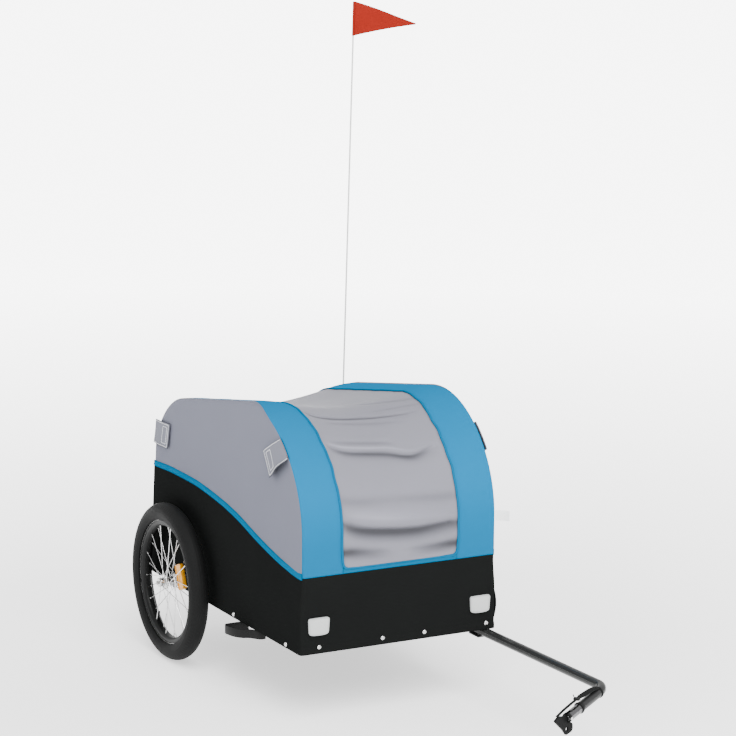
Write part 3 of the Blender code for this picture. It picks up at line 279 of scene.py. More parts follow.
@dataclass(frozen=True)
class Prism:
    """Reflector plastic: a smooth clear face over rows of small corner cubes."""

    name: str
    slot: str
    colour: Colour
    pitch: float
    coat: float
    roughness: float = 0.22
    depth: float = 0.00025

    def build(self) -> bpy.types.Material:
        """Make the material, with the cubes on the piece's UV map."""
        w = Weaver(self.name)
        split = w.add("ShaderNodeSeparateXYZ", {0: w.surface_place()})
        across = w.math("MULTIPLY", split.outputs[0], 1 / self.pitch)
        along = w.math("MULTIPLY", split.outputs[1], 1 / self.pitch)
        cubes = w.math("MULTIPLY", w.math("PINGPONG", across, 0.5), w.math("PINGPONG", along, 0.5))
        w.tint(self.colour, w.ramp(w.math("MULTIPLY", cubes, 4.0), 0.72, 1.12))
        w.bump(cubes, self.depth, 0.6)
        w.put("Roughness", self.roughness)
        w.put("Coat Weight", self.coat)
        w.put("Coat Roughness", 0.06)
        w.put("Specular IOR Level", 0.25)
        return w.material


class Finish(Enum):
    """Every finish of the trailer."""

    BLUE = Cloth("sky_blue_cloth", "blue_cloth", (0.0001, 0.122, 0.262), mottle=0.03)
    BLUE_EDGE = Cloth("blue_edging", "blue_cloth", (0.0001, 0.092, 0.190), thread=0.0007, relief=0.00014)
    GREY = Cloth("grey_side_cloth", "grey_cloth", (0.110, 0.114, 0.145), sheen=0.03, specular=0.08)
    SILVER = Cloth(
        "silver_grey_cloth", "grey_cloth", (0.156, 0.156, 0.184), roughness=0.46, sheen=0.05, specular=0.16
    )
    WEBBING = Cloth(
        "grey_webbing", "grey_cloth", (0.122, 0.126, 0.152), thread=0.0016, relief=0.00022, sheen=0.03,
        specular=0.08,
    )
    BLACK = Cloth("black_body_cloth", "black_cloth", (0.0070, 0.0075, 0.0073), roughness=0.74, mottle=0.09)
    STRAP = Cloth(
        "black_webbing", "black_cloth", (0.0100, 0.0105, 0.0104), thread=0.0014, relief=0.00025,
        specular=0.03,
    )
    RED = Cloth("red_flag_cloth", "red_cloth", (0.185, 0.0130, 0.0080), thread=0.0006, roughness=0.65)
    THREAD = Cloth(
        "white_thread", "grey_cloth", (0.80, 0.80, 0.82), thread=0.0004, roughness=0.7, specular=0.15
    )
    LABEL = Cloth(
        "white_label_cloth", "white_plastic", (0.90, 0.90, 0.90), thread=0.0004, roughness=0.6, sheen=0.25,
        specular=0.15,
    )
    GLOSS_BLACK = Paint(
        "black_powder_coat", "black_paint", (0.0165, 0.0170, 0.0170), 0.20, peel=0.000006, specular=0.18
    )
    RIM_BLACK = Paint("black_rim_coat", "black_paint", (0.0050, 0.0052, 0.0052), 0.36, specular=0.12)
    PLATE_BLACK = Paint("black_plate_coat", "black_paint", (0.0045, 0.0047, 0.0048), 0.6, specular=0.04)
    PLASTIC = Paint(
        "black_moulded_plastic", "black_plastic", (0.0050, 0.0052, 0.0053), 0.5, peel=0.00004,
        peel_scale=1400.0, specular=0.12,
    )
    BOARD = Paint(
        "black_board", "board", (0.0160, 0.0160, 0.0165), 0.7, peel=0.00008, peel_scale=500.0, specular=0.2
    )
    WHITE = Paint("white_fibre_rod", "white_plastic", (0.450, 0.450, 0.445), 0.35)
    STEEL = Metal("satin_steel", "steel", (0.300, 0.300, 0.297), 0.22)
    DARK_STEEL = Metal("dark_zinc_steel", "steel", (0.120, 0.120, 0.124), 0.17)
    BRIGHT = Metal("bright_plated_steel", "steel", (0.560, 0.560, 0.555), 0.14)
    SPOKE = Metal("stainless_spoke", "steel", (0.660, 0.660, 0.660), 0.18)
    RUBBER = Tyre("black_tyre_rubber", "rubber", (0.0058, 0.0060, 0.0060))
    WHITE_PRISM = Prism("white_reflector", "white_plastic", (0.500, 0.515, 0.510), pitch=0.0030, coat=0.3)
    ORANGE_PRISM = Prism("orange_reflector", "orange_plastic", (0.700, 0.300, 0.004), pitch=0.0026, coat=0.1)

    @property
    def material(self) -> bpy.types.Material:
        """The finish's material, made the first time it is asked for."""
        return bpy.data.materials.get(self.value.name) or self.value.build()


# Mesh work


def mm(*points: Point) -> Array:
    """Points given in millimetres, as metres."""
    return np.array(points) / 1000


def unit(vectors: Array) -> Array:
    """The vectors at length one."""
    return vectors / np.maximum(np.linalg.norm(vectors, axis=-1, keepdims=True), 1e-12)


def smoothstep(t: Array | float) -> Array:
    """The smooth rise from nought to one, three t squared less two t cubed."""
    t = np.clip(t, 0.0, 1.0)
    return t * t * (3 - 2 * t)


def lengths(points: Array) -> Array:
    """How far along the polyline each of its points lies."""
    steps = np.linalg.norm(np.diff(points, axis=0), axis=-1)
    return np.concatenate([[0.0], np.cumsum(steps)])


def read(points: Array, at: Array, wanted: Array) -> Array:
    """The polyline's points at the wanted distances, at being the distance of each of its own."""
    return np.stack([np.interp(wanted, at, column) for column in points.T], axis=-1)


def spaced(points: Array, count: int) -> Array:
    """The polyline read again at evenly spaced points."""
    at = lengths(points)
    return read(points, at, np.linspace(0.0, at[-1], count))


def rounded(points: Array, count: int, passes: int) -> Array:
    """The polyline spaced evenly, with its corners eased by repeated averaging."""
    line = spaced(points, count)
    for _ in range(passes):
        line[1:-1] = 0.25 * line[:-2] + 0.5 * line[1:-1] + 0.25 * line[2:]
    return spaced(line, count)


def looped(points: Array) -> Array:
    """The grid with its first column again at its end."""
    return np.concatenate([points, points[:, :1]], axis=1)


def mirrored(half: Array) -> Array:
    """The outline carried on by its mirror image, from its last point back to its first."""
    return np.concatenate([half, (half * (-1, 1))[::-1][1:]])


@dataclass
class Shell:
    """Patches of one piece, gathered and then made into a mesh."""

    points: list[Array] = field(default_factory=list)
    uvs: list[Array] = field(default_factory=list)
    quads: list[Array] = field(default_factory=list)
    rings: list[Array] = field(default_factory=list)
    shades: list[Array] = field(default_factory=list)
    count: int = 0

    def grid(self, points: Array, uv: Array | None = None, shade: Array | float = 1.0) -> Shell:
        """Add a rectangular grid of points.

        Args:
            points: Rows by columns by three; rows and columns turn outwards by the right hand.
            uv: Rows by columns by two, in metres. Left out, it is measured along the grid.
            shade: Painted light and shade on the cloth at each point, about one.

        Returns:
            The shell itself.
        """
        rows, columns = points.shape[:2]
        if uv is None:
            down = np.linalg.norm(np.diff(points, axis=0), axis=-1).mean(axis=1)
            over = np.linalg.norm(np.diff(points, axis=1), axis=-1).mean(axis=0)
            u, v = (np.concatenate([[0.0], np.cumsum(steps)]) for steps in (over, down))
            uv = np.stack(np.meshgrid(u, v), axis=-1)
        number = np.arange(rows * columns).reshape(rows, columns) + self.count
        corners = (number[:-1, :-1], number[:-1, 1:], number[1:, 1:], number[1:, :-1])
        self.quads.append(np.stack(corners, axis=-1).reshape(-1, 4))
        self.points.append(points.reshape(-1, 3))
        self.uvs.append(uv.reshape(-1, 2))
        self.shades.append(np.broadcast_to(shade, (rows, columns)).ravel())
        self.count += rows * columns
        return self

    def face(self, ring: Array, uv: Array | None = None) -> Shell:
        """Add one flat many-sided face."""
        self.rings.append(np.arange(len(ring)) + self.count)
        self.points.append(ring)
        self.uvs.append(ring[:, :2] if uv is None else uv)
        self.shades.append(np.ones(len(ring)))
        self.count += len(ring)
        return self

    def sweep(self, path: Array, section: Array, up: Sequence[float]) -> Shell:
        """Carry a closed section along a path, and close both ends.

        Each ring is the section laid out on the path's sideways direction and on the direction
        square to it and the path: path + a * side + b * rise.

        Args:
            path: Points of the path.
            section: Points (a, b), or one such list for each path point.
            up: A direction that is never along the path.

        Returns:
            The shell itself.
        """
        tangent = unit(np.gradient(path, axis=0))
        side = unit(np.cross(tangent, np.asarray(up, float)))
        rise = np.cross(side, tangent)
        section = looped(np.broadcast_to(section, (len(path), *np.shape(section)[-2:])))
        rings = path[:, None] + section[..., :1] * side[:, None] + section[..., 1:] * rise[:, None]
        return self.grid(rings).face(rings[0, :-1][::-1]).face(rings[-1, :-1])

    def turn(self, profile: Array, centre: Sequence[float], axis: Sequence[float], steps: int = 48) -> Shell:
        """Turn a profile about a line: centre + axis * a + radius * (cos t, sin t).

        Args:
            profile: Points (distance along the axis, radius). A closed one ends where it starts.
            centre: A point of the axis.
            axis: The axis.
            steps: How many steps the full turn takes.

        Returns:
            The shell itself.
        """
        along = unit(np.asarray(axis, float))
        helper = np.array((0.0, 0.0, 1.0)) if abs(along[2]) < 0.9 else np.array((1.0, 0.0, 0.0))
        first = unit(np.cross(along, helper))
        second = np.cross(along, first)
        angle = np.linspace(0.0, 2 * math.pi, steps + 1)
        spokes = np.cos(angle)[:, None] * first + np.sin(angle)[:, None] * second
        points = np.asarray(centre, float) + profile[:, None, :1] * along + profile[:, None, 1:] * spokes
        uv = np.meshgrid(angle * profile[:, 1].max(), lengths(profile))
        return self.grid(points, np.stack(uv, axis=-1))

    def rod(self, start: Array, end: Array, radius: float, steps: int = 12, dome: float = 0.0) -> Shell:
        """A straight rod with flat or slightly domed ends."""
        start, end = np.asarray(start, float), np.asarray(end, float)
        length = float(np.linalg.norm(end - start))
        ease = min(0.25 * radius, 0.2 * length)
        profile = [(-dome, 0.0), (0.0, radius - ease), (ease, radius), (length - ease, radius)]
        profile += [(length, radius - ease), (length + dome, 0.0)]
        return self.turn(np.array(profile), start, end - start, steps)

    def slab(
        self, outline: Array, origin: Sequence[float], across: Sequence[float], up: Sequence[float],
        low: float, high: float, ease: float = 0.0006,
    ) -> Shell:
        """Draw a flat outline out along its normal, with its edges eased by a quarter round.

        Args:
            outline: Points (a, b) in order, turning left about across x up.
            origin: Where (0, 0) lies.
            across: Direction of a.
            up: Direction of b.
            low: Start along across x up.
            high: End along across x up.
            ease: Radius of the eased edge.

        Returns:
            The shell itself.
        """
        across, up = unit(np.asarray(across, float)), unit(np.asarray(up, float))
        along = np.cross(across, up)
        steps, least = 3, 0.5
        ahead = unit(np.roll(outline, -1, axis=0) - outline)
        right = np.stack([ahead[:, 1], -ahead[:, 0]], axis=-1)
        square = right + np.roll(right, 1, axis=0)
        square = square / np.maximum((square * right).sum(-1, keepdims=True), least)
        turn = np.linspace(0.0, math.pi / 2, steps + 1)
        inset, rise = ease * (1 - np.sin(turn)), ease * (1 - np.cos(turn))
        insets = np.concatenate([inset, inset[::-1]])
        levels = np.concatenate([low + rise, high - rise[::-1]])
        rings = outline[None] - square[None] * insets[:, None, None]
        points = np.asarray(origin, float) + rings[..., :1] * across + rings[..., 1:] * up
        points = points + levels[:, None, None] * along
        return self.grid(looped(points)).face(points[0][::-1], rings[0][::-1]).face(points[-1], rings[-1])

    def stitches(
        self, path: Array, lift: Array, pitch: float = 0.0042, length: float = 0.0032,
        radius: float = 0.00065,
    ) -> Shell:
        """A row of stitches: small rods with pointed ends that lie along a path.

        Args:
            path: The row's line.
            lift: The direction away from the cloth.
            pitch: Distance from stitch to stitch.
            length: Length of one stitch.
            radius: Radius of the thread.

        Returns:
            The shell itself.
        """
        at = lengths(path)
        number = max(int(at[-1] / pitch), 1)
        middles = (np.arange(number) + 0.5) * at[-1] / number
        near = 0.0004
        along = unit(read(path, at, middles + near) - read(path, at, middles - near))
        side = unit(np.cross(along, lift))
        reach, girth = np.array([(-0.5, 0.0), (-0.38, 0.8), (0.0, 1.0), (0.38, 0.8), (0.5, 0.0)]).T
        turn = np.linspace(0.0, 2 * math.pi, 7)
        across = radius * girth[:, None] * np.cos(turn)
        out = (radius * girth[:, None] * np.sin(turn))[..., None] * lift
        for place, way, beside in zip(read(path, at, middles), along, side):
            self.grid(place + (length * reach)[:, None, None] * way + across[..., None] * beside + out)
        return self

    def build(
        self, name: str, finish: Finish, body: str = BODY, replaces: Sequence[str] | None = None,
        outward: Sequence[float] | None = None, thickness: float = 0.0, smooth: float = 40.0,
    ) -> bpy.types.Object:
        """Make the piece, weld its seams, turn its faces outwards and let it ride.

        Args:
            name: The piece's name.
            finish: Its finish.
            body: The body it rides on, or an empty word for none.
            replaces: The CAD nodes it stands for. Left out, it is the node of its own name.
            outward: For an open sheet, a direction that its faces look to on the whole.
            thickness: Wall given to an open sheet, inwards.
            smooth: Edges sharper than this many degrees stay sharp.

        Returns:
            The piece.
        """
        points = np.concatenate(self.points) - np.array((0.0, AXLE_Y, 0.0))
        uv = np.concatenate(self.uvs)
        faces = np.concatenate(self.quads).tolist() + [ring.tolist() for ring in self.rings]
        mesh = bpy.data.meshes.new(name)
        mesh.from_pydata(points.tolist(), [], faces)
        layer = mesh.uv_layers.new(name="UVMap")
        corner = np.empty(len(mesh.loops), np.int32)
        mesh.loops.foreach_get("vertex_index", corner)
        layer.data.foreach_set("uv", uv[corner].astype(np.float32).ravel())
        # The shade attribute carries the painted light and shade given to each point.
        shade = mesh.attributes.new("shade", "FLOAT", "POINT")
        shade.data.foreach_set("value", np.concatenate(self.shades).astype(np.float32))
        work = bmesh.new()
        work.from_mesh(mesh)
        bmesh.ops.remove_doubles(work, verts=work.verts, dist=WELD)
        bmesh.ops.dissolve_degenerate(work, edges=work.edges, dist=SLIVER)
        if outward is None:
            bmesh.ops.recalc_face_normals(work, faces=work.faces)
        elif sum((f.normal * f.calc_area() for f in work.faces), Vector()).dot(Vector(outward)) < 0:
            bmesh.ops.reverse_faces(work, faces=work.faces)
        work.to_mesh(mesh)
        work.free()
        mesh.shade_smooth()
        mesh.set_sharp_from_angle(angle=math.radians(smooth))
        mesh.materials.append(finish.material)
        piece = bpy.data.objects.new(name, mesh)
        bpy.context.scene.collection.objects.link(piece)
        if thickness:
            wall = piece.modifiers.new("wall", "SOLIDIFY")
            wall.thickness = thickness
            wall.offset = -1.0
            wall.use_quality_normals = True
        if body:
            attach(piece, body)
        replaces = [name] if replaces is None else replaces
        if replaces:
            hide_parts(*replaces)
        log.info("%s: %d faces", name, len(mesh.polygons))
        return piece


def declare_sheet(piece: bpy.types.Object, points: Array) -> None:
    """Measure the area and the size of a cloth piece's grid.

    Args:
        piece: The piece; not used.
        points: The grid that it is made of, rows by columns by three.
    """
    one, other = points[1:, :-1] - points[:-1, 1:], points[1:, 1:] - points[:-1, :-1]
    area = 0.5 * float(np.linalg.norm(np.cross(one, other), axis=-1).sum())
    down = float(np.linalg.norm(np.diff(points, axis=0), axis=-1).sum(axis=0).max())
    across = float(np.linalg.norm(np.diff(points, axis=1), axis=-1).sum(axis=1).max())
    across = max(across, area / down * 1.0005)


def cloth_piece(
    name: str, points: Array, finish: Finish, held: str, *rests_on: str, uv: Array | None = None,
    shade: Array | float = 1.0, outward: Sequence[float] | None = None, thickness: float = CLOTH,
    body: str = BODY, replaces: Sequence[str] | None = None,
) -> bpy.types.Object:
    """Args:
        name: The piece's name.
        points: The grid, rows by columns by three.
        finish: Its finish.
        *rests_on: What carries it; not used.
        uv: The weave's coordinates in metres. Left out, they are measured along the grid.
        shade: Painted light and shade on the cloth at each point, about one.
        outward: A direction that its faces look to on the whole, left out where the grid closes.
        thickness: Its thickness.
        body: The body it rides on, or an empty word for none.
        replaces: The CAD nodes it stands for. Left out, it is the node of its own name.

    Returns:
        The piece.
    """
    piece = Shell().grid(points, uv, shade).build(name, finish, body, replaces, outward, thickness)
    declare_sheet(piece, points)
    return piece


def ring(radius: float, steps: int) -> Array:
    """A round section."""
    angle = np.linspace(0.0, 2 * math.pi, steps + 1)[:-1]
    return radius * np.stack([np.cos(angle), np.sin(angle)], axis=-1)


def round_box(half_a: float, half_b: float, corner: float, steps: int = 4) -> Array:
    """A rectangle's outline with round corners, turning left."""
    turn = np.linspace(0.0, math.pi / 2, steps + 1)
    parts = []
    for number, (a, b) in enumerate(((1, 1), (-1, 1), (-1, -1), (1, -1))):
        angle = turn + number * math.pi / 2
        middle = np.array((a * (half_a - corner), b * (half_b - corner)))
        parts.append(middle + corner * np.stack([np.cos(angle), np.sin(angle)], axis=-1))
    return np.concatenate(parts)


def bezier(start: Point, first: Point, second: Point, end: Point, steps: int) -> Array:
    """A cubic curve from start to end, pulled towards two points."""
    t = np.linspace(0.0, 1.0, steps)[:, None]
    weights = ((1 - t) ** 3, 3 * t * (1 - t) ** 2, 3 * t**2 * (1 - t), t**3)
    return sum(w * np.array(p) for w, p in zip(weights, (start, first, second, end)))


# The cover and the lower body


@dataclass
class CoverShape:
    """The outline and the sag that every piece of the cover follows."""

    half_width: float = 0.2595
    corner: float = 0.010
    sag_depth: float = 0.034
    sag_start: float = 0.10
    sag_run: float = 0.30
    door_top_y: float = 0.300

    def __post_init__(self) -> None:
        """Lay out the side outline from the front hem over the roof to the rear hem."""
        front_hem, brow, roof_front = (0.0, 0.357), (0.0, 0.45), (0.300, 0.722)
        roof_rear, rear_top, rear_hem = (0.690, 0.660), (0.8475, 0.500), (0.8508, 0.4593)
        front = bezier(brow, (0.0, 0.6085), (0.15, 0.7445), roof_front, 200)
        rear = bezier(roof_rear, (0.763, 0.6484), (0.8416, 0.571), rear_top, 120)
        straight = np.linspace(front_hem, brow, 20)
        roof = np.linspace(roof_front, roof_rear, 60)
        self.line = spaced(np.concatenate([straight, front[1:], roof[1:], rear[1:], [rear_hem]]), 1200)
        self.at = lengths(self.line)
        self.length = float(self.at[-1])
        along = unit(np.gradient(self.line, axis=0))
        self.square = np.stack([-along[:, 1], along[:, 0]], axis=-1)
        self.door_top = self.station(self.door_top_y)

    def station(self, y: float) -> float:
        """How far along the outline the roof reaches this y."""
        roof = self.line[:, 1] > 0.60
        return float(np.interp(y, self.line[roof, 0], self.at[roof]))

    def sag(self, x: Array, s: Array) -> Array:
        """How far the cloth hangs in between the hoops: deepest in the middle, nought at the
        edge, the front foot and the rear hem."""
        width = np.clip(1 - (x / self.half_width) ** 2, 0.0, 1.0) ** 2.2
        ramp = smoothstep((s - self.sag_start) / self.sag_run) * smoothstep((self.length - s) / self.sag_run)
        return self.sag_depth * width * ramp

    def hung(self, x: Array, s: Array, depth: Array) -> Array:
        """Points at x and s, this deep under the outline and lower still by the sag."""
        fall = depth + self.sag(x, s)
        spot = read(self.line, self.at, s) - read(self.square, self.at, s) * fall[..., None]
        return np.stack([x, spot[..., 0], spot[..., 1]], axis=-1)

    def at_x(self, x: Array, s: Array, depth: Array | float = 0.0) -> Array:
        """Points of the cover at x and s, this deep below its outer face."""
        return self.hung(*np.broadcast_arrays(x, s, depth))

    def round_edge(self, side: Side, w: Array, s: Array, depth: Array | float = 0.0) -> Array:
        """Points across the rounded edge, w metres round from the side wall.

        Up to a quarter turn the point goes round the corner; past it, it runs inwards along the
        sagging cloth.
        """
        w, s, depth = np.broadcast_arrays(w, s, depth)
        quarter = self.corner * math.pi / 2
        turn = np.minimum(w, quarter) / self.corner
        radius = self.corner - depth
        x = self.half_width - self.corner + np.where(w < quarter, radius * np.cos(turn), quarter - w)
        fall = self.corner - radius * np.where(w < quarter, np.sin(turn), 1.0)
        return self.hung(side.value * x, s, fall)

    def outer_seam(self, s: Array) -> Array:
        """How far round the edge the grey side meets the blue band: on the corner at the front,
        over it on the roof."""
        return self.corner * (0.55 + 2.6 * smoothstep((s - 0.40) / 0.20))

    def inner_seam(self, s: Array) -> Array:
        """How far from the middle the blue band meets the grey centre."""
        widen = 0.0045 * smoothstep(s / 0.06) + 0.008 * smoothstep((s - 0.30) / 0.30)
        wave = 0.0009 * np.sin(s * 61.0 + 0.6) + 0.0006 * np.sin(s * 117.0)
        return 0.1515 + widen + wave * smoothstep((s - 0.1) / 0.15)


SEAM = mm(
    (0, 357), (33, 358), (106, 369), (181, 384), (258, 403), (336, 425), (416, 441), (497, 452),
    (581, 461), (666, 463), (753, 464), (860, 459),
)
SEAM_LINE = rounded(SEAM, 240, 60)
# Section of the piping: outwards and upwards from the seam.
ROLL = mm(
    (0, -4.5), (2, -4.5), (6.6, -0.8), (8.2, 0.6), (8.4, 2.4), (7.4, 4.2), (7, 6.2), (5.8, 8.6),
    (3.6, 10.4), (1.4, 11.2), (0, 11.2),
)


def seam_height(y: Array) -> Array:
    """Height of the seam between the black lower body and the grey sides."""
    return np.interp(y, SEAM_LINE[:, 0], SEAM_LINE[:, 1])


def ripple(u: Array, v: Array, seed: float, size: float) -> Array:
    """Small uneven waves: a sum of five sines of different directions and lengths."""
    total = 0.0
    for k in range(1, 6):
        turn = seed * 1.7 + k * 2.399
        pitch = (18.0 + 13.0 * k) * (1 + 0.1 * math.sin(seed * k))
        total = total + np.sin(pitch * (u * math.cos(turn) + v * math.sin(turn)) + seed * k) / k
    return size * total


def fade(off: Array, above: float, below: float) -> Array:
    """exp(-(off / reach)^2), with a reach in millimetres of its own on either side."""
    return np.exp(-((off / (np.where(off > 0, above, below) * MM)) ** 2))


@dataclass(frozen=True)
class Fold:
    """A fold of the hanging centre cloth: its line across the cloth and its two walls.

    Above the line the cloth hangs over and falls in on the steep wall; below, it runs out again
    on the slow one. The line is a list of (u, s), and s, the walls and the depth are millimetres.
    """

    steep: float
    slow: float
    depth: float
    line: tuple[tuple[float, float], ...]

    def depth_at(self, u: Array, s: Array) -> Array:
        """depth * exp(-(off / wall)^2), eased to nought at both ends of the line."""
        eased = rounded(np.array(self.line) * (1, MM), 80, 60)
        wall = fade(s - np.interp(u, eased[:, 0], eased[:, 1]), self.steep, self.slow)
        first, last = self.line[0][0], self.line[-1][0]
        return self.depth * MM * wall * smoothstep((u - first) / 0.25) * smoothstep((last - u) / 0.25)


FOLDS = (
    Fold(
        4.2, 16, 3.4,
        ((-1.1, 470), (-0.95, 454), (-0.8, 437), (-0.52, 433), (-0.07, 435), (0.33, 427), (0.65, 419),
         (0.9, 411)),
    ),
    Fold(7, 9, 1.6, ((-0.8, 412), (-0.3, 409), (0.28, 400), (0.7, 392))),
    Fold(6, 16, 1.5, ((0, 600), (0.35, 519), (0.83, 480), (1.15, 462))),
    Fold(5, 14, 1.3, ((0.1, 462), (0.45, 457), (0.8, 447), (1.1, 432))),
    Fold(9, 9, 2.2, ((-0.95, 343), (-0.68, 336), (-0.15, 331), (0.3, 324))),
    Fold(
        6, 20, 5.8,
        ((-1.15, 336), (-0.88, 317), (-0.72, 305), (-0.3, 298), (0.1, 290), (0.25, 280), (0.38, 272),
         (0.5, 272), (0.65, 280), (1.02, 294)),
    ),
    Fold(18, 14, 4.2, ((-1.2, 176), (-0.68, 165), (0.2, 161), (0.62, 157), (1.2, 153))),
    Fold(13, 10, -4, ((-1.2, 145), (-0.7, 130), (-0.05, 117), (0.68, 113), (1.2, 114))),
    Fold(
        9, 20, 8.5,
        ((-1.3, 136), (-1, 121), (-0.88, 107), (-0.7, 99), (-0.45, 93), (-0.07, 87), (0.3, 84),
         (0.55, 86), (0.98, 89), (1.3, 92)),
    ),
    Fold(10, 11, 6.2, ((-1.3, 54.5), (-0.88, 48.5), (-0.45, 39.5), (-0.15, 37.5))),
    Fold(10, 11, 6.6, ((0, 34.5), (0.43, 35.5), (0.68, 37.5), (1, 41.5), (1.3, 46.5))),
    Fold(12, 18, 2.2, ((-1.3, 470), (-1, 500), (-0.75, 545), (-0.45, 620))),
)


@dataclass(frozen=True)
class Stroke:
    """A band of painted shade, or of painted highlight, beside a fold, with its fade to either side.

    The line is a list of (u, s, dark), s in millimetres; dark below nought is painted highlight.
    """

    above: float
    below: float
    line: tuple[tuple[float, float, float], ...]

    def dark_at(self, u: Array, s: Array) -> Array:
        """dark * exp(-(off / fade)^2), off being how far s lies from the line."""
        eased = rounded(np.array(self.line) * (1, MM, 1), 90, 20)
        off = s - np.interp(u, eased[:, 0], eased[:, 1])
        return np.interp(u, eased[:, 0], eased[:, 2]) * fade(off, self.above, self.below)


# Painted shade beside the folds of the centre cloth; a dark below nought is a painted highlight.
STROKES = (
    Stroke(
        4, 4,
        ((-0.98, 459, 0), (-0.95, 454, 0.37), (-0.8, 437, 0.58), (-0.52, 433, 0.63), (-0.07, 435, 0.61),
         (0.33, 427, 0.52), (0.65, 419, 0.34), (0.9, 411, 0)),
    ),
    Stroke(
        4, 4.5,
        ((-0.8, 427, 0), (-0.52, 422, -0.09), (-0.07, 424, -0.09), (0.33, 416, -0.06), (0.65, 408, 0)),
    ),
    Stroke(
        7, 8,
        ((-0.75, 410, 0), (-0.65, 409, 0.12), (-0.3, 409, 0.19), (0.05, 405, 0.19), (0.28, 400, 0.15),
         (0.6, 395, 0)),
    ),
    Stroke(6, 7, ((0, 600, 0), (0.35, 519, 0.13), (0.83, 480, 0.19), (1.02, 470, 0.12))),
    Stroke(5, 6, ((0.1, 462, 0), (0.45, 457, 0.13), (0.8, 447, 0.16), (1.02, 437, 0.07))),
    Stroke(9, 8, ((-1, 500, 0.09), (-0.75, 545, 0.15), (-0.45, 620, 0))),
    Stroke(
        7, 7,
        ((-0.85, 335, 0), (-0.75, 333, 0.09), (-0.5, 331, 0.22), (-0.22, 329, 0.23), (0.05, 325, 0.19),
         (0.2, 315, 0.06), (0.3, 306, 0)),
    ),
    Stroke(
        4.2, 3.6,
        ((-0.95, 332, 0), (-0.88, 327, -0.17), (-0.7, 317, -0.35), (-0.27, 311, -0.35),
         (0.07, 307, -0.35), (0.23, 299, -0.27), (0.4, 287, -0.14), (0.55, 287, 0)),
    ),
    Stroke(
        6, 13.5,
        ((-0.95, 324, 0), (-0.88, 317, 0.15), (-0.72, 303, 0.56), (-0.5, 297, 0.63), (-0.3, 296, 0.66),
         (-0.07, 292, 0.66), (0.1, 288, 0.66), (0.25, 278, 0.7), (0.38, 270, 0.73), (0.5, 270, 0.66),
         (0.65, 278, 0.46), (0.78, 287, 0.12), (0.85, 290, 0)),
    ),
    Stroke(
        12, 12,
        ((-1, 173, 0.18), (-0.68, 165, 0.22), (-0.22, 163, 0.14), (0.2, 161, 0.18), (0.62, 157, 0.23),
         (1, 155, 0.23)),
    ),
    Stroke(
        15, 9,
        ((-1, 142, 0), (-0.9, 138, -0.12), (-0.7, 132, -0.24), (-0.4, 125, -0.26), (-0.05, 119, -0.18),
         (0.25, 117, -0.1), (0.68, 115, -0.04), (1, 114, 0)),
    ),
    Stroke(
        9.5, 18.5,
        ((-1.05, 123, 0.45), (-0.88, 107, 0.72), (-0.7, 98, 0.81), (-0.45, 92, 0.84), (-0.07, 86, 0.84),
         (0.3, 83, 0.81), (0.55, 86, 0.75), (0.8, 89, 0.68), (1, 91, 0.63)),
    ),
    Stroke(
        12.5, 13.5,
        ((-1.02, 50.5, 0.81), (-0.88, 48.5, 0.77), (-0.7, 45.5, 0.61), (-0.45, 39.5, 0.37),
         (-0.15, 37.5, 0.08), (0.05, 36.5, 0)),
    ),
    Stroke(
        12, 12.5,
        ((0, 34.5, 0), (0.25, 35.5, 0.11), (0.43, 35.5, 0.34), (0.68, 37.5, 0.58), (0.92, 39.5, 0.77),
         (1.02, 41.5, 0.81)),
    ),
)


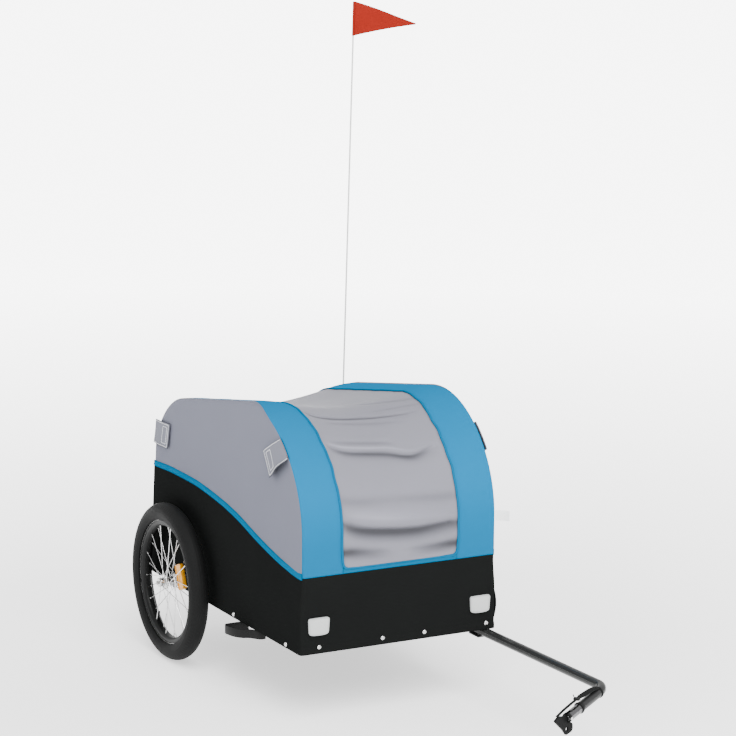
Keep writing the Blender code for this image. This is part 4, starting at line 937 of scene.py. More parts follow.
@dataclass
class Cover:
    """The upper cover: side panels, bands, centre panel with its door, edging, tabs and label."""

    shape: CoverShape = field(default_factory=CoverShape)
    rows: int = 260
    hinge_x: float = 0.152

    def build(self) -> None:
        """Make every piece of the cover."""
        roots = {Side.LEFT: mm((112, 668), (69, 628)), Side.RIGHT: mm((106, 662), (51, 604))}
        for side in Side:
            self.side_panel(side)
            self.band(side)
            self.piping(side)
            self.tab(side, "front_tab", [*roots[side], *mm((147, 569), (193, 626))], 0.0105)
            self.tab(side, "rear_tab", mm((829, 582), (845, 519), (746, 520), (733, 585)), 0.0025)
        self.roof()
        self.door()
        self.door_edging()
        self.door_foot_strip()
        self.rear_piping()
        self.label()

    def side_panel(self, side: Side) -> None:
        """The grey side: round the edge from its seam, then down the flat to the lower seam.

        The flat part runs in straight lines from the outline to the lower seam, and swells
        outwards by a few millimetres between its edges.
        """
        shape = self.shape
        s = np.linspace(0.0, shape.length, self.rows)
        arc = np.linspace(1.0, 0.0, 9)[:, None] * shape.outer_seam(s)[None]
        edge = shape.round_edge(side, arc, s[None])
        t = np.linspace(0.0, 1.0, 90)[1:, None]
        front, rear, lap = 0.0102, 0.8385, 0.004
        foot_y = front + (rear - front) * (s / shape.length)
        foot_z = seam_height(foot_y) - lap * smoothstep((foot_y - 0.01) / 0.03)
        foot = np.stack([foot_y, foot_z], axis=-1)
        flat = edge[-1][None, :, 1:] * (1 - t[..., None]) + foot[None] * t[..., None]
        middle = np.sin(math.pi * t)
        swell = 0.0035 * middle**0.8 * np.sin(math.pi * np.clip(s / shape.length, 0, 1)) ** 0.6
        uneven = ripple(flat[..., 0], flat[..., 1], 2.0 + side.value, 0.00022) * middle
        x = side.value * (shape.half_width + swell + uneven)
        points = np.concatenate([edge, np.stack([x, flat[..., 0], flat[..., 1]], axis=-1)])
        uv = points[..., 1:]
        cloth_piece(
            f"side_panel_{side.word}", points, Finish.GREY, "stretched", f"side_hoop_{side.word}",
            uv=uv, shade=self.painted_tab_shadow(uv), outward=(side.value, 0, 0),
        )

    @staticmethod
    def painted_tab_shadow(spot: Array) -> Array:
        """The painted shadow on the side at (y, z): darker just below each tab's lower edge."""
        shade = np.ones(spot.shape[:-1])
        front = (mm((72, 626), (150, 567)), 0.016, 0.55)
        rear = (mm((845, 519), (746, 520)), 0.006, 0.30)
        # Painted shadow below each tab's lower edge.
        for (root, free), reach, dark in (front, rear):
            along = free - root
            share = ((spot - root) @ along) / (along @ along)
            nearest = root + np.clip(share, 0.0, 1.0)[..., None] * along
            off = np.linalg.norm(spot - nearest, axis=-1)
            ends = smoothstep((share + 0.05) / 0.20) * smoothstep((1.1 - share) / 0.45)
            shade = shade * (1 - dark * np.exp(-((off / reach) ** 2)) * ends)
        return shade

    def band(self, side: Side) -> None:
        """The blue band from its outer seam round the edge and in to its inner seam."""
        shape = self.shape
        s = np.linspace(0.0004, shape.length, self.rows)
        start = shape.outer_seam(s) + 0.0001
        reach = shape.corner * math.pi / 2 + shape.half_width - shape.corner - shape.inner_seam(s)
        share = np.linspace(0.0, 1.0, 46)[:, None]
        middle = np.sin(math.pi * share)
        w = start[None] + share * (reach - start)[None]
        bow = 0.0012 * middle * smoothstep(s / 0.2)[None]
        hem = 0.0007 * np.exp(-(((w - reach[None] + 0.006) / 0.0016) ** 2))
        uneven = ripple(w * 1.5, np.broadcast_to(s, w.shape), 5.0 + side.value, 0.00030) * middle
        # Painted shade: the band darker low at the front and along its inner edge.
        cloth_piece(
            f"side_band_{side.word}", shape.round_edge(side, w, s[None], hem - bow + uneven), Finish.BLUE,
            "stretched", f"side_hoop_{side.word}", uv=np.stack([w, np.broadcast_to(s, w.shape)], axis=-1),
            shade=1 - 0.16 * smoothstep((0.22 - s[None]) / 0.20) - 0.12 * smoothstep((share - 0.93) / 0.07),
            outward=(0, -0.4, 1),
        )

    def painted_fold_shade(self, u: Array, s: Array) -> Array:
        """Painted light and shade: the product of 1 less each stroke's dark, less a little at the seams."""
        shade = np.ones(np.broadcast(u, s).shape)
        for stroke in STROKES:
            shade = shade * (1 - stroke.dark_at(u, s))
        # Painted shade along the seams.
        seam = 0.10 * smoothstep((np.abs(u) - 0.96) / 0.04)
        return np.clip(shade - seam, 0.2, 1.4)

    def centre(self, u: Array, s: Array) -> Array:
        """Points of the grey centre: u from -1 to 1 between the inner seams."""
        x = u * (self.shape.inner_seam(s) - 0.0022)
        bulge = 0.0050 * (1 - u**2) ** 0.5 * smoothstep(s / 0.02) * (1 - smoothstep((s - 0.02) / 0.30))
        uneven = ripple(x * 1.3, s, 3.3, 0.00035) * (1 - u**4)
        sewn = 1 - 0.96 * smoothstep((np.abs(u) - 0.84) / 0.16)
        folds = sum(fold.depth_at(u, s) for fold in FOLDS)
        return self.shape.at_x(x, s, folds * sewn - bulge + uneven + 0.0008)

    def roof(self) -> None:
        """The grey roof panel, from the door's top to the rear hem."""
        u = np.sin(np.linspace(-math.pi / 2, math.pi / 2, 90))[:, None]
        s = np.linspace(self.shape.door_top, self.shape.length, 170)[None]
        cloth_piece(
            "roof_panel", self.centre(u, s), Finish.SILVER, "stretched", "roof_crossbar",
            shade=self.painted_fold_shade(u, s), outward=(0, 0, 1),
        )

    def door(self) -> None:
        """The hanging front door with its sagging folds, up to the hinge line at its top."""
        foot, corner, straight = 0.0135, 0.013, 0.915
        top = self.shape.door_top
        u = np.sin(np.linspace(-math.pi / 2, math.pi / 2, 150))[:, None]
        s = np.linspace(foot, top - 0.0002, 330)[None]
        round_part = np.clip(np.abs(u) - straight, 0, 1) / (1 - straight)
        low = foot + corner * (1 - np.sqrt(np.clip(1 - round_part**2, 0, 1)))
        s = low + (s - foot) / (top - foot) * (top - low)
        piece = cloth_piece(
            "front_door", self.centre(u, s), Finish.SILVER, "hung", "roof_panel",
            shade=self.painted_fold_shade(u, s), outward=(0, -1, 0.4), body="",
        )
        hinge = self.shape.at_x(np.array(self.hinge_x), np.array(top)) - (self.hinge_x, AXLE_Y, 0)
        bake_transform(piece)

    def door_path(self) -> Array:
        """The line down one side of the door, along its foot and up the other side, as (x, s)."""
        shape, radius, foot = self.shape, 0.0135, 0.0115
        s = np.linspace(shape.length - 0.004, 0.026, 400)
        left = np.stack([-shape.inner_seam(s), s], axis=-1)
        turn = np.linspace(0.0, math.pi / 2, 14)[1:]
        half = float(shape.inner_seam(np.array(0.02)))
        corner = np.stack([radius * (1 - np.cos(turn)) - half, foot + radius * (1 - np.sin(turn))], axis=-1)
        line = np.concatenate([left, corner])
        return np.concatenate([line, (line * (-1, 1))[::-1]])

    def door_edging(self) -> None:
        """The blue roll sewn round the door."""
        shape = self.shape
        flat = spaced(self.door_path(), 900)
        path = shape.at_x(flat[:, 0], flat[:, 1], -0.0006)
        out = np.column_stack([np.zeros(len(flat)), read(shape.square, shape.at, flat[:, 1])])
        side = unit(np.cross(unit(np.gradient(path, axis=0)), out))
        angle = np.linspace(0, 2 * math.pi, 15)
        a, b = 0.0030 * np.cos(angle), 0.0019 * np.sin(angle)
        rings = path[:, None] + a[:, None] * side[:, None] + b[:, None] * out[:, None]
        roll = Shell().grid(rings).face(rings[0, :-1]).face(rings[-1, :-1])
        roll.build("door_edging", Finish.BLUE_EDGE, replaces=["door_zip"])

    def door_foot_strip(self) -> None:
        """The flat blue strip below the door."""
        half = float(self.shape.inner_seam(np.array(0.0))) + 0.0005
        x, s = np.meshgrid(np.linspace(-half, half, 60), np.linspace(0.0004, 0.0125, 8), indexing="ij")
        strip = self.shape.at_x(x, s, 0.0002 - 0.0008 * np.sin(math.pi * s / 0.0129))
        cloth_piece(
            "door_foot_strip", strip, Finish.BLUE_EDGE, "stretched", "door_edging", outward=(0, -1, 0),
            replaces=["door_zip"],
        )

    def piping(self, side: Side) -> None:
        """The blue piping over the lower seam, from the front corner to the rear one."""
        front, rear, corner = 0.0035, 0.8495, self.shape.corner
        y = np.linspace(front, rear, 300)
        line = np.stack([y, seam_height(y)], axis=-1)
        along = unit(np.gradient(line, axis=0))
        rise = np.stack([-along[:, 1], along[:, 0]], axis=-1)
        taper = smoothstep((y - 0.0050) / 0.110) * smoothstep((rear - y) / 0.012)
        spot = line[:, None] + ROLL[None, :, 1:] * rise[:, None]
        drop = corner - np.sqrt(corner**2 - (corner - np.minimum(y, corner)) ** 2)
        root = self.shape.half_width + 0.0006 - drop[:, None]
        x = side.value * (root + 0.70 * ROLL[None, :, 0] * taper[:, None])
        self.roll(f"side_piping_{side.word}", np.concatenate([x[..., None], spot], axis=-1))

    def rear_piping(self) -> None:
        """The same piping across the rear seam."""
        half, rear, height = 0.2572, 0.8492, 0.4588
        x = np.linspace(-half, half, 60)
        taper = 0.2 + 0.8 * smoothstep((half - np.abs(x)) / 0.010)
        y = rear + ROLL[None, :, 0] * 0.32 * taper[:, None]
        z = height + ROLL[:, 1]
        self.roll("rear_piping", np.stack(np.broadcast_arrays(x[:, None], y, z[None]), axis=-1), replaces=())

    @staticmethod
    def roll(name: str, points: Array, replaces: Sequence[str] | None = None) -> None:
        """Make a length of piping from its sections."""
        shell = Shell().grid(looped(points)).face(points[0]).face(points[-1])
        shell.build(name, Finish.BLUE_EDGE, replaces=replaces)

    def tab(self, side: Side, word: str, corners: Sequence[Array], curl: float) -> None:
        """A webbing tab, sewn at its root and free at its other end, with its white stitching.

        Args:
            side: Which side it is on.
            word: Its name without the side.
            corners: Root top, root foot, free foot and free top, as (y, z).
            curl: How far the free end stands off the side.
        """
        root_top, root_foot, free_foot, free_top = corners
        root, thick = self.shape.half_width + 0.0012, 0.0022
        chord = root_foot - root_top
        bow = np.array((chord[1], -chord[0])) * (0.45 * math.hypot(*chord))

        def place(u: Array, v: Array, lift: float) -> Array:
            """Points of the tab: u from root to free end, v from foot to top."""
            u, v = np.broadcast_arrays(u, v)
            foot = root_foot + (free_foot - root_foot) * u[..., None]
            top = root_top + (free_top - root_top) * u[..., None]
            spot = foot + (top - foot) * v[..., None] + bow * (4 * v * (1 - v) * (1 - u) ** 3)[..., None]
            stand = curl * (0.50 * u**2 + 0.75 * np.sin(math.pi * u**0.8) ** 2) * (1.0 - v) ** 1.3
            stand = stand + 0.0014 * u + 0.0034 * smoothstep(u / 0.5)
            return np.stack([side.value * (root + lift + stand), spot[..., 0], spot[..., 1]], axis=-1)

        def rim(values: Array) -> Array:
            """The grid's values once round its border."""
            return np.concatenate([values[0], values[1:, -1], values[-1, -2::-1], values[-2::-1, 0]])

        name = f"{word}_{side.word}"
        u, v = np.meshgrid(np.linspace(0.0, 1.0, 40), np.linspace(0.0, 1.0, 26), indexing="ij")
        upper = place(u, v, thick)
        wall = np.stack([place(rim(u), rim(v), lift) for lift in (0.0, thick)])
        # Painted light and shade: the face a little lighter in its middle, darker at its edges and along its
        # foot; the underside and the low wall painted darker.
        edge = np.minimum(np.minimum(v, 1 - v) * 0.055, (1 - u) * 0.045)
        shade = 1.06 - 0.26 * np.exp(-edge / 0.0014) - 0.30 * np.exp(-v / 0.10) * np.sin(math.pi * u)
        shell = Shell().grid(upper, shade=shade).grid(place(u, v, 0.0)[::-1], shade=0.8)
        shell.grid(wall, shade=0.2 + 0.7 * smoothstep((rim(v) - 0.08) / 0.2))
        declare_sheet(shell.build(name, Finish.WEBBING), upper)
        rows = [((0.0, v), (0.94, v)) for v in (0.955, 0.045)] + [((0.95, 0.955), (0.95, 0.045))]
        rows += [((0.60, v), (0.85, v)) for v in (0.84, 0.16)]
        rows += [((u, 0.84), (u, 0.16)) for u in (0.60, 0.85)]
        thread = Shell()
        for start, end in rows:
            line = np.linspace(start, end, 40)
            path = place(line[:, 0], line[:, 1], thick + 0.0002)
            thread.stitches(path, np.array((side.value, 0.0, 0.0)))
        thread.build(f"{name}_stitching", Finish.THREAD, replaces=())

    def label(self) -> None:
        """The blank white label: a folded ribbon that stands out from the right side seam."""
        height, half_tall, half_thick = 0.4525, 0.0125, 0.0006
        t = np.linspace(0.0, 1.0, 24)
        line = np.linspace((0.2575, 0.0005), (0.2850, -0.0200), 24)
        line = line + np.array((0.6, 0.8)) * (0.0022 * np.sin(math.pi * t))[:, None]
        path = np.column_stack([line, np.full(24, height)])
        section = round_box(half_thick, half_tall, half_thick / 2, 2)
        Shell().sweep(path, section, (0, 0, 1)).build("blank_label", Finish.LABEL)


@dataclass
class LowerBody:
    """The black lower body with its reflectors, strap loop, rails and rivets."""

    half_width: float = 0.2635
    length: float = 0.875
    foot: float = 0.173
    lean: float = 0.084
    corner: float = 0.009
    rail_x: float = 0.2465
    rail_z: float = 0.187
    crossbars_y: tuple[float, float] = (0.0135, 0.8570)
    rivets_front: tuple[float, ...] = (-0.215, -0.047, 0.066, 0.236)
    rivets_side: tuple[float, ...] = (0.076, 0.363)

    def build(self) -> None:
        """Make every piece of the lower body."""
        self.walls()
        for side in Side:
            self.rail(side)
            self.hoop(side)
            self.receiver(side)
        self.crossbars()
        for side in Side:
            self.reflector(side)
            self.guard(side)
        self.strap_loop()

    def walls(self) -> None:
        """One belt of cloth round the lower body: upright at the front, leaning in at the rear."""
        outline = round_box(self.half_width, self.length / 2, self.corner, 6) + (0.0, self.length / 2)
        plan = spaced(np.concatenate([outline, outline[:1]]), 900)
        rise = np.linspace(0.0, 1.0, 70)[:, None]
        top = seam_height(np.clip(plan[:, 1], 0.0, 0.86)) - 0.0003
        up = rise * (top - self.foot)[None]
        z = self.foot + up
        x, y = plan[None, :, 0], plan[None, :, 1]
        tuck = 0.0045 * smoothstep((z - 0.27) / 0.075) * smoothstep((0.10 - y) / 0.09)
        tuck = tuck * smoothstep((np.abs(x) - 0.20) / 0.06)
        around = np.broadcast_to(lengths(plan), z.shape)
        hem = 0.0006 * np.exp(-(((up - 0.018) / 0.0014) ** 2))
        edge = 0.0010 * smoothstep((0.016 - up) / 0.004)
        pucker = ripple(around * 0.6, z * 0.8, 7.0, 0.00028) * np.sin(math.pi * rise)
        along = unit(np.gradient(plan, axis=0))
        push = pucker + edge - hem - 0.0010
        points = np.stack(
            [
                x - np.sign(x) * tuck + along[:, 1] * push,
                y * (1 - self.lean * up / self.length) - along[:, 0] * push,
                z,
            ],
            axis=-1,
        )
        cloth_piece(
            "lower_body_cloth", points, Finish.BLACK, "stretched",
            "base_rail_left", "base_rail_right", "base_crossbar_front",
            uv=np.stack([around, z], axis=-1),
            replaces=["front_panel", "rear_panel", "lower_panel_left", "lower_panel_right"],
        )

    @staticmethod
    def square_tube(name: str, start: Sequence[float], end: Sequence[float]) -> None:
        """A twenty-millimetre square tube with round corners."""
        section = round_box(0.010, 0.010, 0.0022)
        Shell().sweep(np.linspace(start, end, 6), section, (0, 0, 1)).build(name, Finish.STEEL)

    def rail(self, side: Side) -> None:
        """A base rail, with the rivets that hold the cloth to it."""
        front, rear, rivet_z = 0.0238, 0.8467, 0.182
        x = side.value * self.rail_x
        self.square_tube(f"base_rail_{side.word}", (x, front, self.rail_z), (x, rear, self.rail_z))
        domes = Shell()
        for y in self.rivets_side:
            self.rivet(domes, (side.value * (self.half_width + 0.0002), y, rivet_z), (side.value, 0, 0))
        domes.build(f"side_rivets_{side.word}", Finish.BRIGHT, replaces=())

    def crossbars(self) -> None:
        """The front and rear base crossbars, with the four rivets of the front one."""
        half, rivet_z = 0.2536, 0.189
        for word, y in zip(("front", "rear"), self.crossbars_y):
            self.square_tube(f"base_crossbar_{word}", (-half, y, self.rail_z), (half, y, self.rail_z))
        domes = Shell()
        for x in self.rivets_front:
            self.rivet(domes, (x, -0.0002, rivet_z), (0, -1, 0))
        domes.build("front_rivets", Finish.BRIGHT, replaces=())

    @staticmethod
    def rivet(shell: Shell, at: Sequence[float], outward: Sequence[float]) -> None:
        """A domed head with a small dimple in its middle, on a short shaft."""
        angle = np.linspace(0.0, 1.28, 8)
        dome = np.stack([0.0036 * np.sin(angle), 0.0056 * np.cos(angle)], axis=-1)
        shaft, dimple = mm((-10, 0), (-10, 2.1), (0, 2.1), (0, 5.4)), mm((3.4, 1.3), (2.8, 0.9), (2.6, 0))
        shell.turn(np.concatenate([shaft, dome, dimple]), at, outward, 28)

    def hoop(self, side: Side) -> None:
        """The bent tube under the cover's edge, on the ends of both crossbars."""
        shape = CoverShape()
        s = np.linspace(0.060, shape.length - 0.055, 160)
        arch = read(shape.line, shape.at, s) - read(shape.square, shape.at, s) * 0.0135
        front, rear = (np.array([(y, 0.1973), (y, 0.2093)]) for y in self.crossbars_y)
        line = rounded(np.concatenate([front, arch, rear[::-1]]), 260, 12)
        path = np.column_stack([np.full(len(line), side.value * 0.2455), line])
        Shell().sweep(path, ring(0.0075, 14), (1, 0, 0)).build(f"side_hoop_{side.word}", Finish.STEEL)

    @staticmethod
    def receiver(side: Side) -> None:
        """The sleeve in which the axle plugs, with a weld bead where it meets the rail."""
        profile = mm(
            (236.5, 6.45), (236.5, 10.6), (236.9, 11), (256.6, 11), (257.2, 12.2), (258.6, 12.4),
            (259.8, 11.2), (275.1, 11), (275.5, 10.6), (275.5, 6.45), (236.5, 6.45),
        )
        shell = Shell().turn(profile, (0, AXLE_Y, 0.2), (side.value, 0, 0), 40)
        shell.build(f"axle_receiver_{side.word}", Finish.STEEL)

    @staticmethod
    def reflector(side: Side) -> None:
        """A white plate with a crowned face inside a narrow raised rim.

        Points run from the middle to the outline; the height is crowned, dips at the rim's foot
        and rises over it.
        """
        half = mm(
            (0, -22.2), (13, -21.7), (21.2, -20.2), (24.4, -18), (25.6, -14), (27.5, 14), (27, 18.2),
            (23.5, 20), (12, 20.3), (0, 20.4),
        )
        outline = rounded(mirrored(half), 120, 3)
        share = np.array([0.0, 0.3, 0.6, 0.8, 0.885, 0.90, 0.915, 0.935, 0.965, 0.985, 1.0, 1.0])
        height = np.array([5.6, 5.5, 5.2, 4.8, 4.5, 4.0, 4.6, 5.4, 5.2, 4.4, 3.0, 0.3]) * MM
        flat = share[:, None, None] * outline[None]
        x, z = side.value * 0.2170 + flat[..., 0], 0.2400 + flat[..., 1]
        points = np.stack([x, -np.broadcast_to(height[:, None], x.shape), z], axis=-1)
        shell = Shell().grid(points, flat).face(points[-1, :-1], flat[-1, :-1])
        shell.build(f"front_reflector_{side.word}", Finish.WHITE_PRISM, smooth=50)

    def guard(self, side: Side) -> None:
        """The flat bar bent out before the wheel, with its two feet."""
        turn = np.linspace(0.0, math.pi / 2, 18)
        root, front, back, wide, height = 0.2410, 0.2318, 0.3263, 0.3063, 0.1618
        curve = np.stack([wide - 0.034 * (1 - np.sin(turn)), 0.318 - 0.0600 * np.cos(turn)], axis=-1)
        start = [(root, front), (0.2545, front)]
        end = [(0.3040, back - 0.001), (0.2985, back), (root, back)]
        line = rounded(np.concatenate([start, curve, end]), 110, 10)
        path = np.column_stack([side.value * line[:, 0], line[:, 1], np.full(len(line), height)])
        shell = Shell().sweep(path, round_box(0.00175, 0.0109, 0.0008, 2), (0, 0, 1))
        pad = round_box(0.0058, 0.0105, 0.0010, 2)
        for y in (front, back):
            middle = (side.value * self.rail_x, y, 0.1655)
            shell.slab(pad, middle, (1, 0, 0), (0, 0, 1), -0.0017, 0.0017)
        shell.build(f"wheel_guard_{side.word}", Finish.PLASTIC)

    def strap_loop(self) -> None:
        """The webbing loop that stands off the right side near the front corner."""
        t = np.linspace(0.0, 1.0, 50)
        bow = 0.0150 * np.sin(math.pi * t) ** 0.7
        path = np.column_stack([self.half_width + 0.0013 + bow, np.full(50, 0.0395), 0.175 + 0.103 * t])
        section = round_box(0.0125, 0.0010, 0.0005, 2)
        Shell().sweep(path, section, (1, 0, 0)).build("strap_loop", Finish.STRAP)


# Wheels


@dataclass
class Wheel:
    """One wheel: tyre, rim, laced hub, valve, reflector, axle and its button."""

    side: Side
    radius: float = 0.200
    section: float = 0.025
    track: float = 0.305
    spokes_per_face: int = 14

    @property
    def centre(self) -> Array:
        """The wheel's centre in body coordinates."""
        return np.array((self.side.value * self.track, AXLE_Y, self.radius))

    def build(self) -> None:
        """Make the wheel's pieces."""
        self.tyre()
        self.rim()
        self.hub()
        self.lacing()
        self.valve()
        self.reflector()
        self.axle()

    def make(self, shell: Shell, word: str, finish: Finish, replaces: Sequence[str] | None = None) -> None:
        """Make a piece that turns with the wheel."""
        shell.build(f"{self.side.word}_{word}", finish, body=f"{self.side.word}_wheel", replaces=replaces)

    def tyre(self) -> None:
        """The tyre: a round section with a shallow rib pattern cut into its crown.

        The groove depth at the angle a round the section and t round the wheel is a product of
        smooth pulses, so that ribs run round the wheel and small cuts cross them.
        """
        middle, lining_radius = self.radius - self.section, 0.0222
        a = np.linspace(math.radians(-44), math.radians(224), 97)
        t = np.linspace(0.0, 2 * math.pi, 601)
        crown = np.abs(a - math.pi / 2)
        grooves = sum(np.exp(-(((crown - at) / 0.035) ** 2)) for at in (0.0, 0.28, 0.55))
        cuts = smoothstep((np.abs(np.sin(60 * t)) - 0.86) / 0.1)
        shoulder = smoothstep((crown - 0.60) / 0.05) * smoothstep((1.02 - crown) / 0.08)
        depth = 0.0004 * grooves[:, None] + 0.0003 * shoulder[:, None] * cuts[None]
        line = 0.0005 * np.exp(-(((crown - 1.42) / 0.03) ** 2))
        reach = self.section - depth + line[:, None]
        spoke = np.stack([np.zeros_like(t), np.cos(t), np.sin(t)], axis=-1)

        def around(along: Array, out: Array) -> Array:
            """Points this far along the axle and out from it, once round the wheel."""
            return self.centre + along[..., None] * np.array((1.0, 0.0, 0.0)) + out[..., None] * spoke

        outer = around(reach * np.cos(a)[:, None], middle + reach * np.sin(a)[:, None])
        uv = np.stack(np.broadcast_arrays(t[None] * self.radius, a[:, None] * self.section), axis=-1)
        bead = (self.section * math.cos(a[0]), middle + self.section * math.sin(a[0]))
        inner = mm((15, 158.6), (11.2, 158.2), (11, 153), (8.8, 152.8), (8.6, 160))
        arc = np.linspace(math.radians(-40), math.radians(90), 12)
        lining = np.stack([lining_radius * np.cos(arc), middle + lining_radius * np.sin(arc)], axis=-1)
        profile = mirrored(np.concatenate([[bead], inner, lining]))
        shell = Shell().grid(outer, uv).grid(around(profile[:, :1], profile[:, 1:])[::-1])
        self.make(shell, "tyre", Finish.RUBBER)

    def rim(self) -> None:
        """The black rim: hooked edges, a well and a crowned inner face, with a bared line by the
        tyre."""
        half = mm(
            (0, 141.8), (5, 142), (7.8, 143), (10.5, 145.2), (12.4, 147.8), (13, 150), (13, 157.2),
            (12.7, 158), (11.9, 158.2), (11.5, 157.8), (11.4, 153.5), (10.8, 152), (7, 150), (0, 149.5),
        )
        self.make(Shell().turn(mirrored(half), self.centre, (1, 0, 0), 160), "rim", Finish.RIM_BLACK)
        line = mm(
            (13.02, 156.4), (13.18, 156.6), (13.22, 157.2), (13.12, 157.7), (13.02, 157.8),
            (13.02, 156.4),
        )
        lines = Shell()
        for face in (-1, 1):
            lines.turn(line * (face, 1), self.centre, (1, 0, 0), 160)
        self.make(lines, "rim_line", Finish.STEEL, ())

    def hub(self) -> None:
        """The bright hub: two flanges on a waisted shell, with a dust cap at each end."""
        half = mm(
            (0, 12), (5, 12.1), (8.8, 12.8), (10.7, 15), (11.4, 17.8), (11.9, 18.6), (12.8, 19), (14, 19),
            (14.7, 18.4), (15, 16.2), (15.7, 12.6), (17, 10.8), (24, 10.4), (26.2, 10.2), (27, 9.8),
            (27.5, 9), (27.5, 6.45),
        )
        profile = np.concatenate([(half * (-1, 1))[::-1], half[1:], half[-1:] * (-1, 1)])
        self.make(Shell().turn(profile, self.centre, (1, 0, 0), 96), "hub", Finish.BRIGHT)

    def lacing(self) -> None:
        """The spokes, each from a flange to the rim at a lead angle, in crossing pairs.

        Spoke k leaves its flange at the angle f and meets the rim at f plus or minus the lead;
        it lies outside the flange or inside it by turns, so that crossing spokes clear.
        """
        lead, hole_radius, rim_radius, flange = math.radians(62), 0.0160, 0.1416, 0.0132
        wires, nipples = Shell(), Shell()

        def spot(along: float, radius: float, angle: float) -> Array:
            """A point this far along the axle and out from it, at this angle."""
            return self.centre + (along, radius * math.cos(angle), radius * math.sin(angle))

        for face in (-1, 1):
            for k in range(self.spokes_per_face):
                turn = 1 if k % 2 else -1
                rim_angle = 2 * math.pi * (k + (0.25 if face > 0 else 0.75)) / self.spokes_per_face
                hub_angle = rim_angle + turn * lead
                start = spot(face * (flange + turn * 0.0024), hole_radius, hub_angle)
                end = spot(face * 0.0035, rim_radius, rim_angle)
                way = unit(end - start)
                wires.rod(start - way * 0.001, end, 0.00095, 8)
                nipples.rod(end - way * 0.009, end + way * 0.0012, 0.0016, 8)
                inner, outer = (spot(face * along, hole_radius, hub_angle) for along in (0.0103, 0.0161))
                wires.rod(inner, outer, 0.0011, 8)
        self.make(wires, "spokes", Finish.SPOKE, [f"{self.side.word}_hub"])
        self.make(nipples, "nipples", Finish.BRIGHT, ())

    def valve(self) -> None:
        """The air tube inside the tyre, with its rubber-covered valve and cap inside the rim."""
        turn, middle, tube_radius = math.radians(35), 0.1760, 0.0145
        way = np.array((0.0, math.sin(turn), -math.cos(turn)))
        profile = mm(
            (118, 0), (118.2, 2.6), (118.8, 3.3), (127, 3.4), (127.6, 3), (128.4, 2.8), (129, 3.1),
            (140.5, 3.4), (141.8, 4), (150, 4), (150, 0),
        )
        self.make(Shell().turn(profile, self.centre, way, 24), "valve", Finish.PLASTIC, ())
        angle = np.linspace(0, 2 * math.pi, 17)
        section = np.stack([tube_radius * np.cos(angle), middle + tube_radius * np.sin(angle)], axis=-1)
        self.make(Shell().turn(section, self.centre, (1, 0, 0), 96), "inner_tube", Finish.RUBBER)

    def reflector(self) -> None:
        """The orange reflector clipped between the spokes: a long plate with ribbed faces and
        round corners, thicker at its rim."""
        turn, half_thick, rise = math.radians(-22), 0.0036, 0.0012
        across = np.array((0.0, math.cos(turn), math.sin(turn)))
        up = np.array((0.0, -math.sin(turn), math.cos(turn)))
        centre = self.centre - 0.074 * across
        rim, inner = round_box(0.0169, 0.0318, 0.0065, 6), round_box(0.0150, 0.0298, 0.0046, 6)
        shell = Shell().slab(rim, centre, across, up, -half_thick, half_thick, 0.0010)
        rings = looped(np.stack([rim * 0.999, rim * 0.992, inner * 1.01, inner]))
        rings = np.concatenate([rings, rings[:1]])
        levels = half_thick + rise * np.array((0, 1, 1, 0, 0))[:, None, None]
        for face in (-1, 1):
            points = centre + rings[..., :1] * across + rings[..., 1:] * up
            shell.grid(points + face * levels * np.array((1.0, 0.0, 0.0)), rings)
        self.make(shell, "wheel_reflector", Finish.ORANGE_PRISM)

    def axle(self) -> None:
        """The hollow axle and the push button in its end."""
        centre, axis = (0, AXLE_Y, self.radius), (self.side.value, 0, 0)
        tube = mm(
            (237.5, 3.3), (237.5, 6), (237.9, 6.35), (332.8, 6.35), (332.8, 10.8), (333.1, 11.3),
            (334.5, 11.3), (335.4, 10.5), (335.8, 9), (335.8, 5.8), (335.2, 5.4), (335.2, 3.3),
            (237.5, 3.3),
        )
        Shell().turn(tube, centre, axis, 40).build(f"{self.side.word}_axle", Finish.BRIGHT)
        button = mm(
            (242.5, 0), (242.5, 3), (242.8, 3.2), (339.1, 3.2), (339.1, 4.6), (339.3, 5), (340.4, 5),
            (341, 4.4), (341.1, 3), (340.9, 0),
        )
        shell = Shell().turn(button, centre, axis, 32)
        shell.build(f"{self.side.word}_release_button", Finish.STEEL, body=f"{self.side.word}_button")


# Tow arm and flag


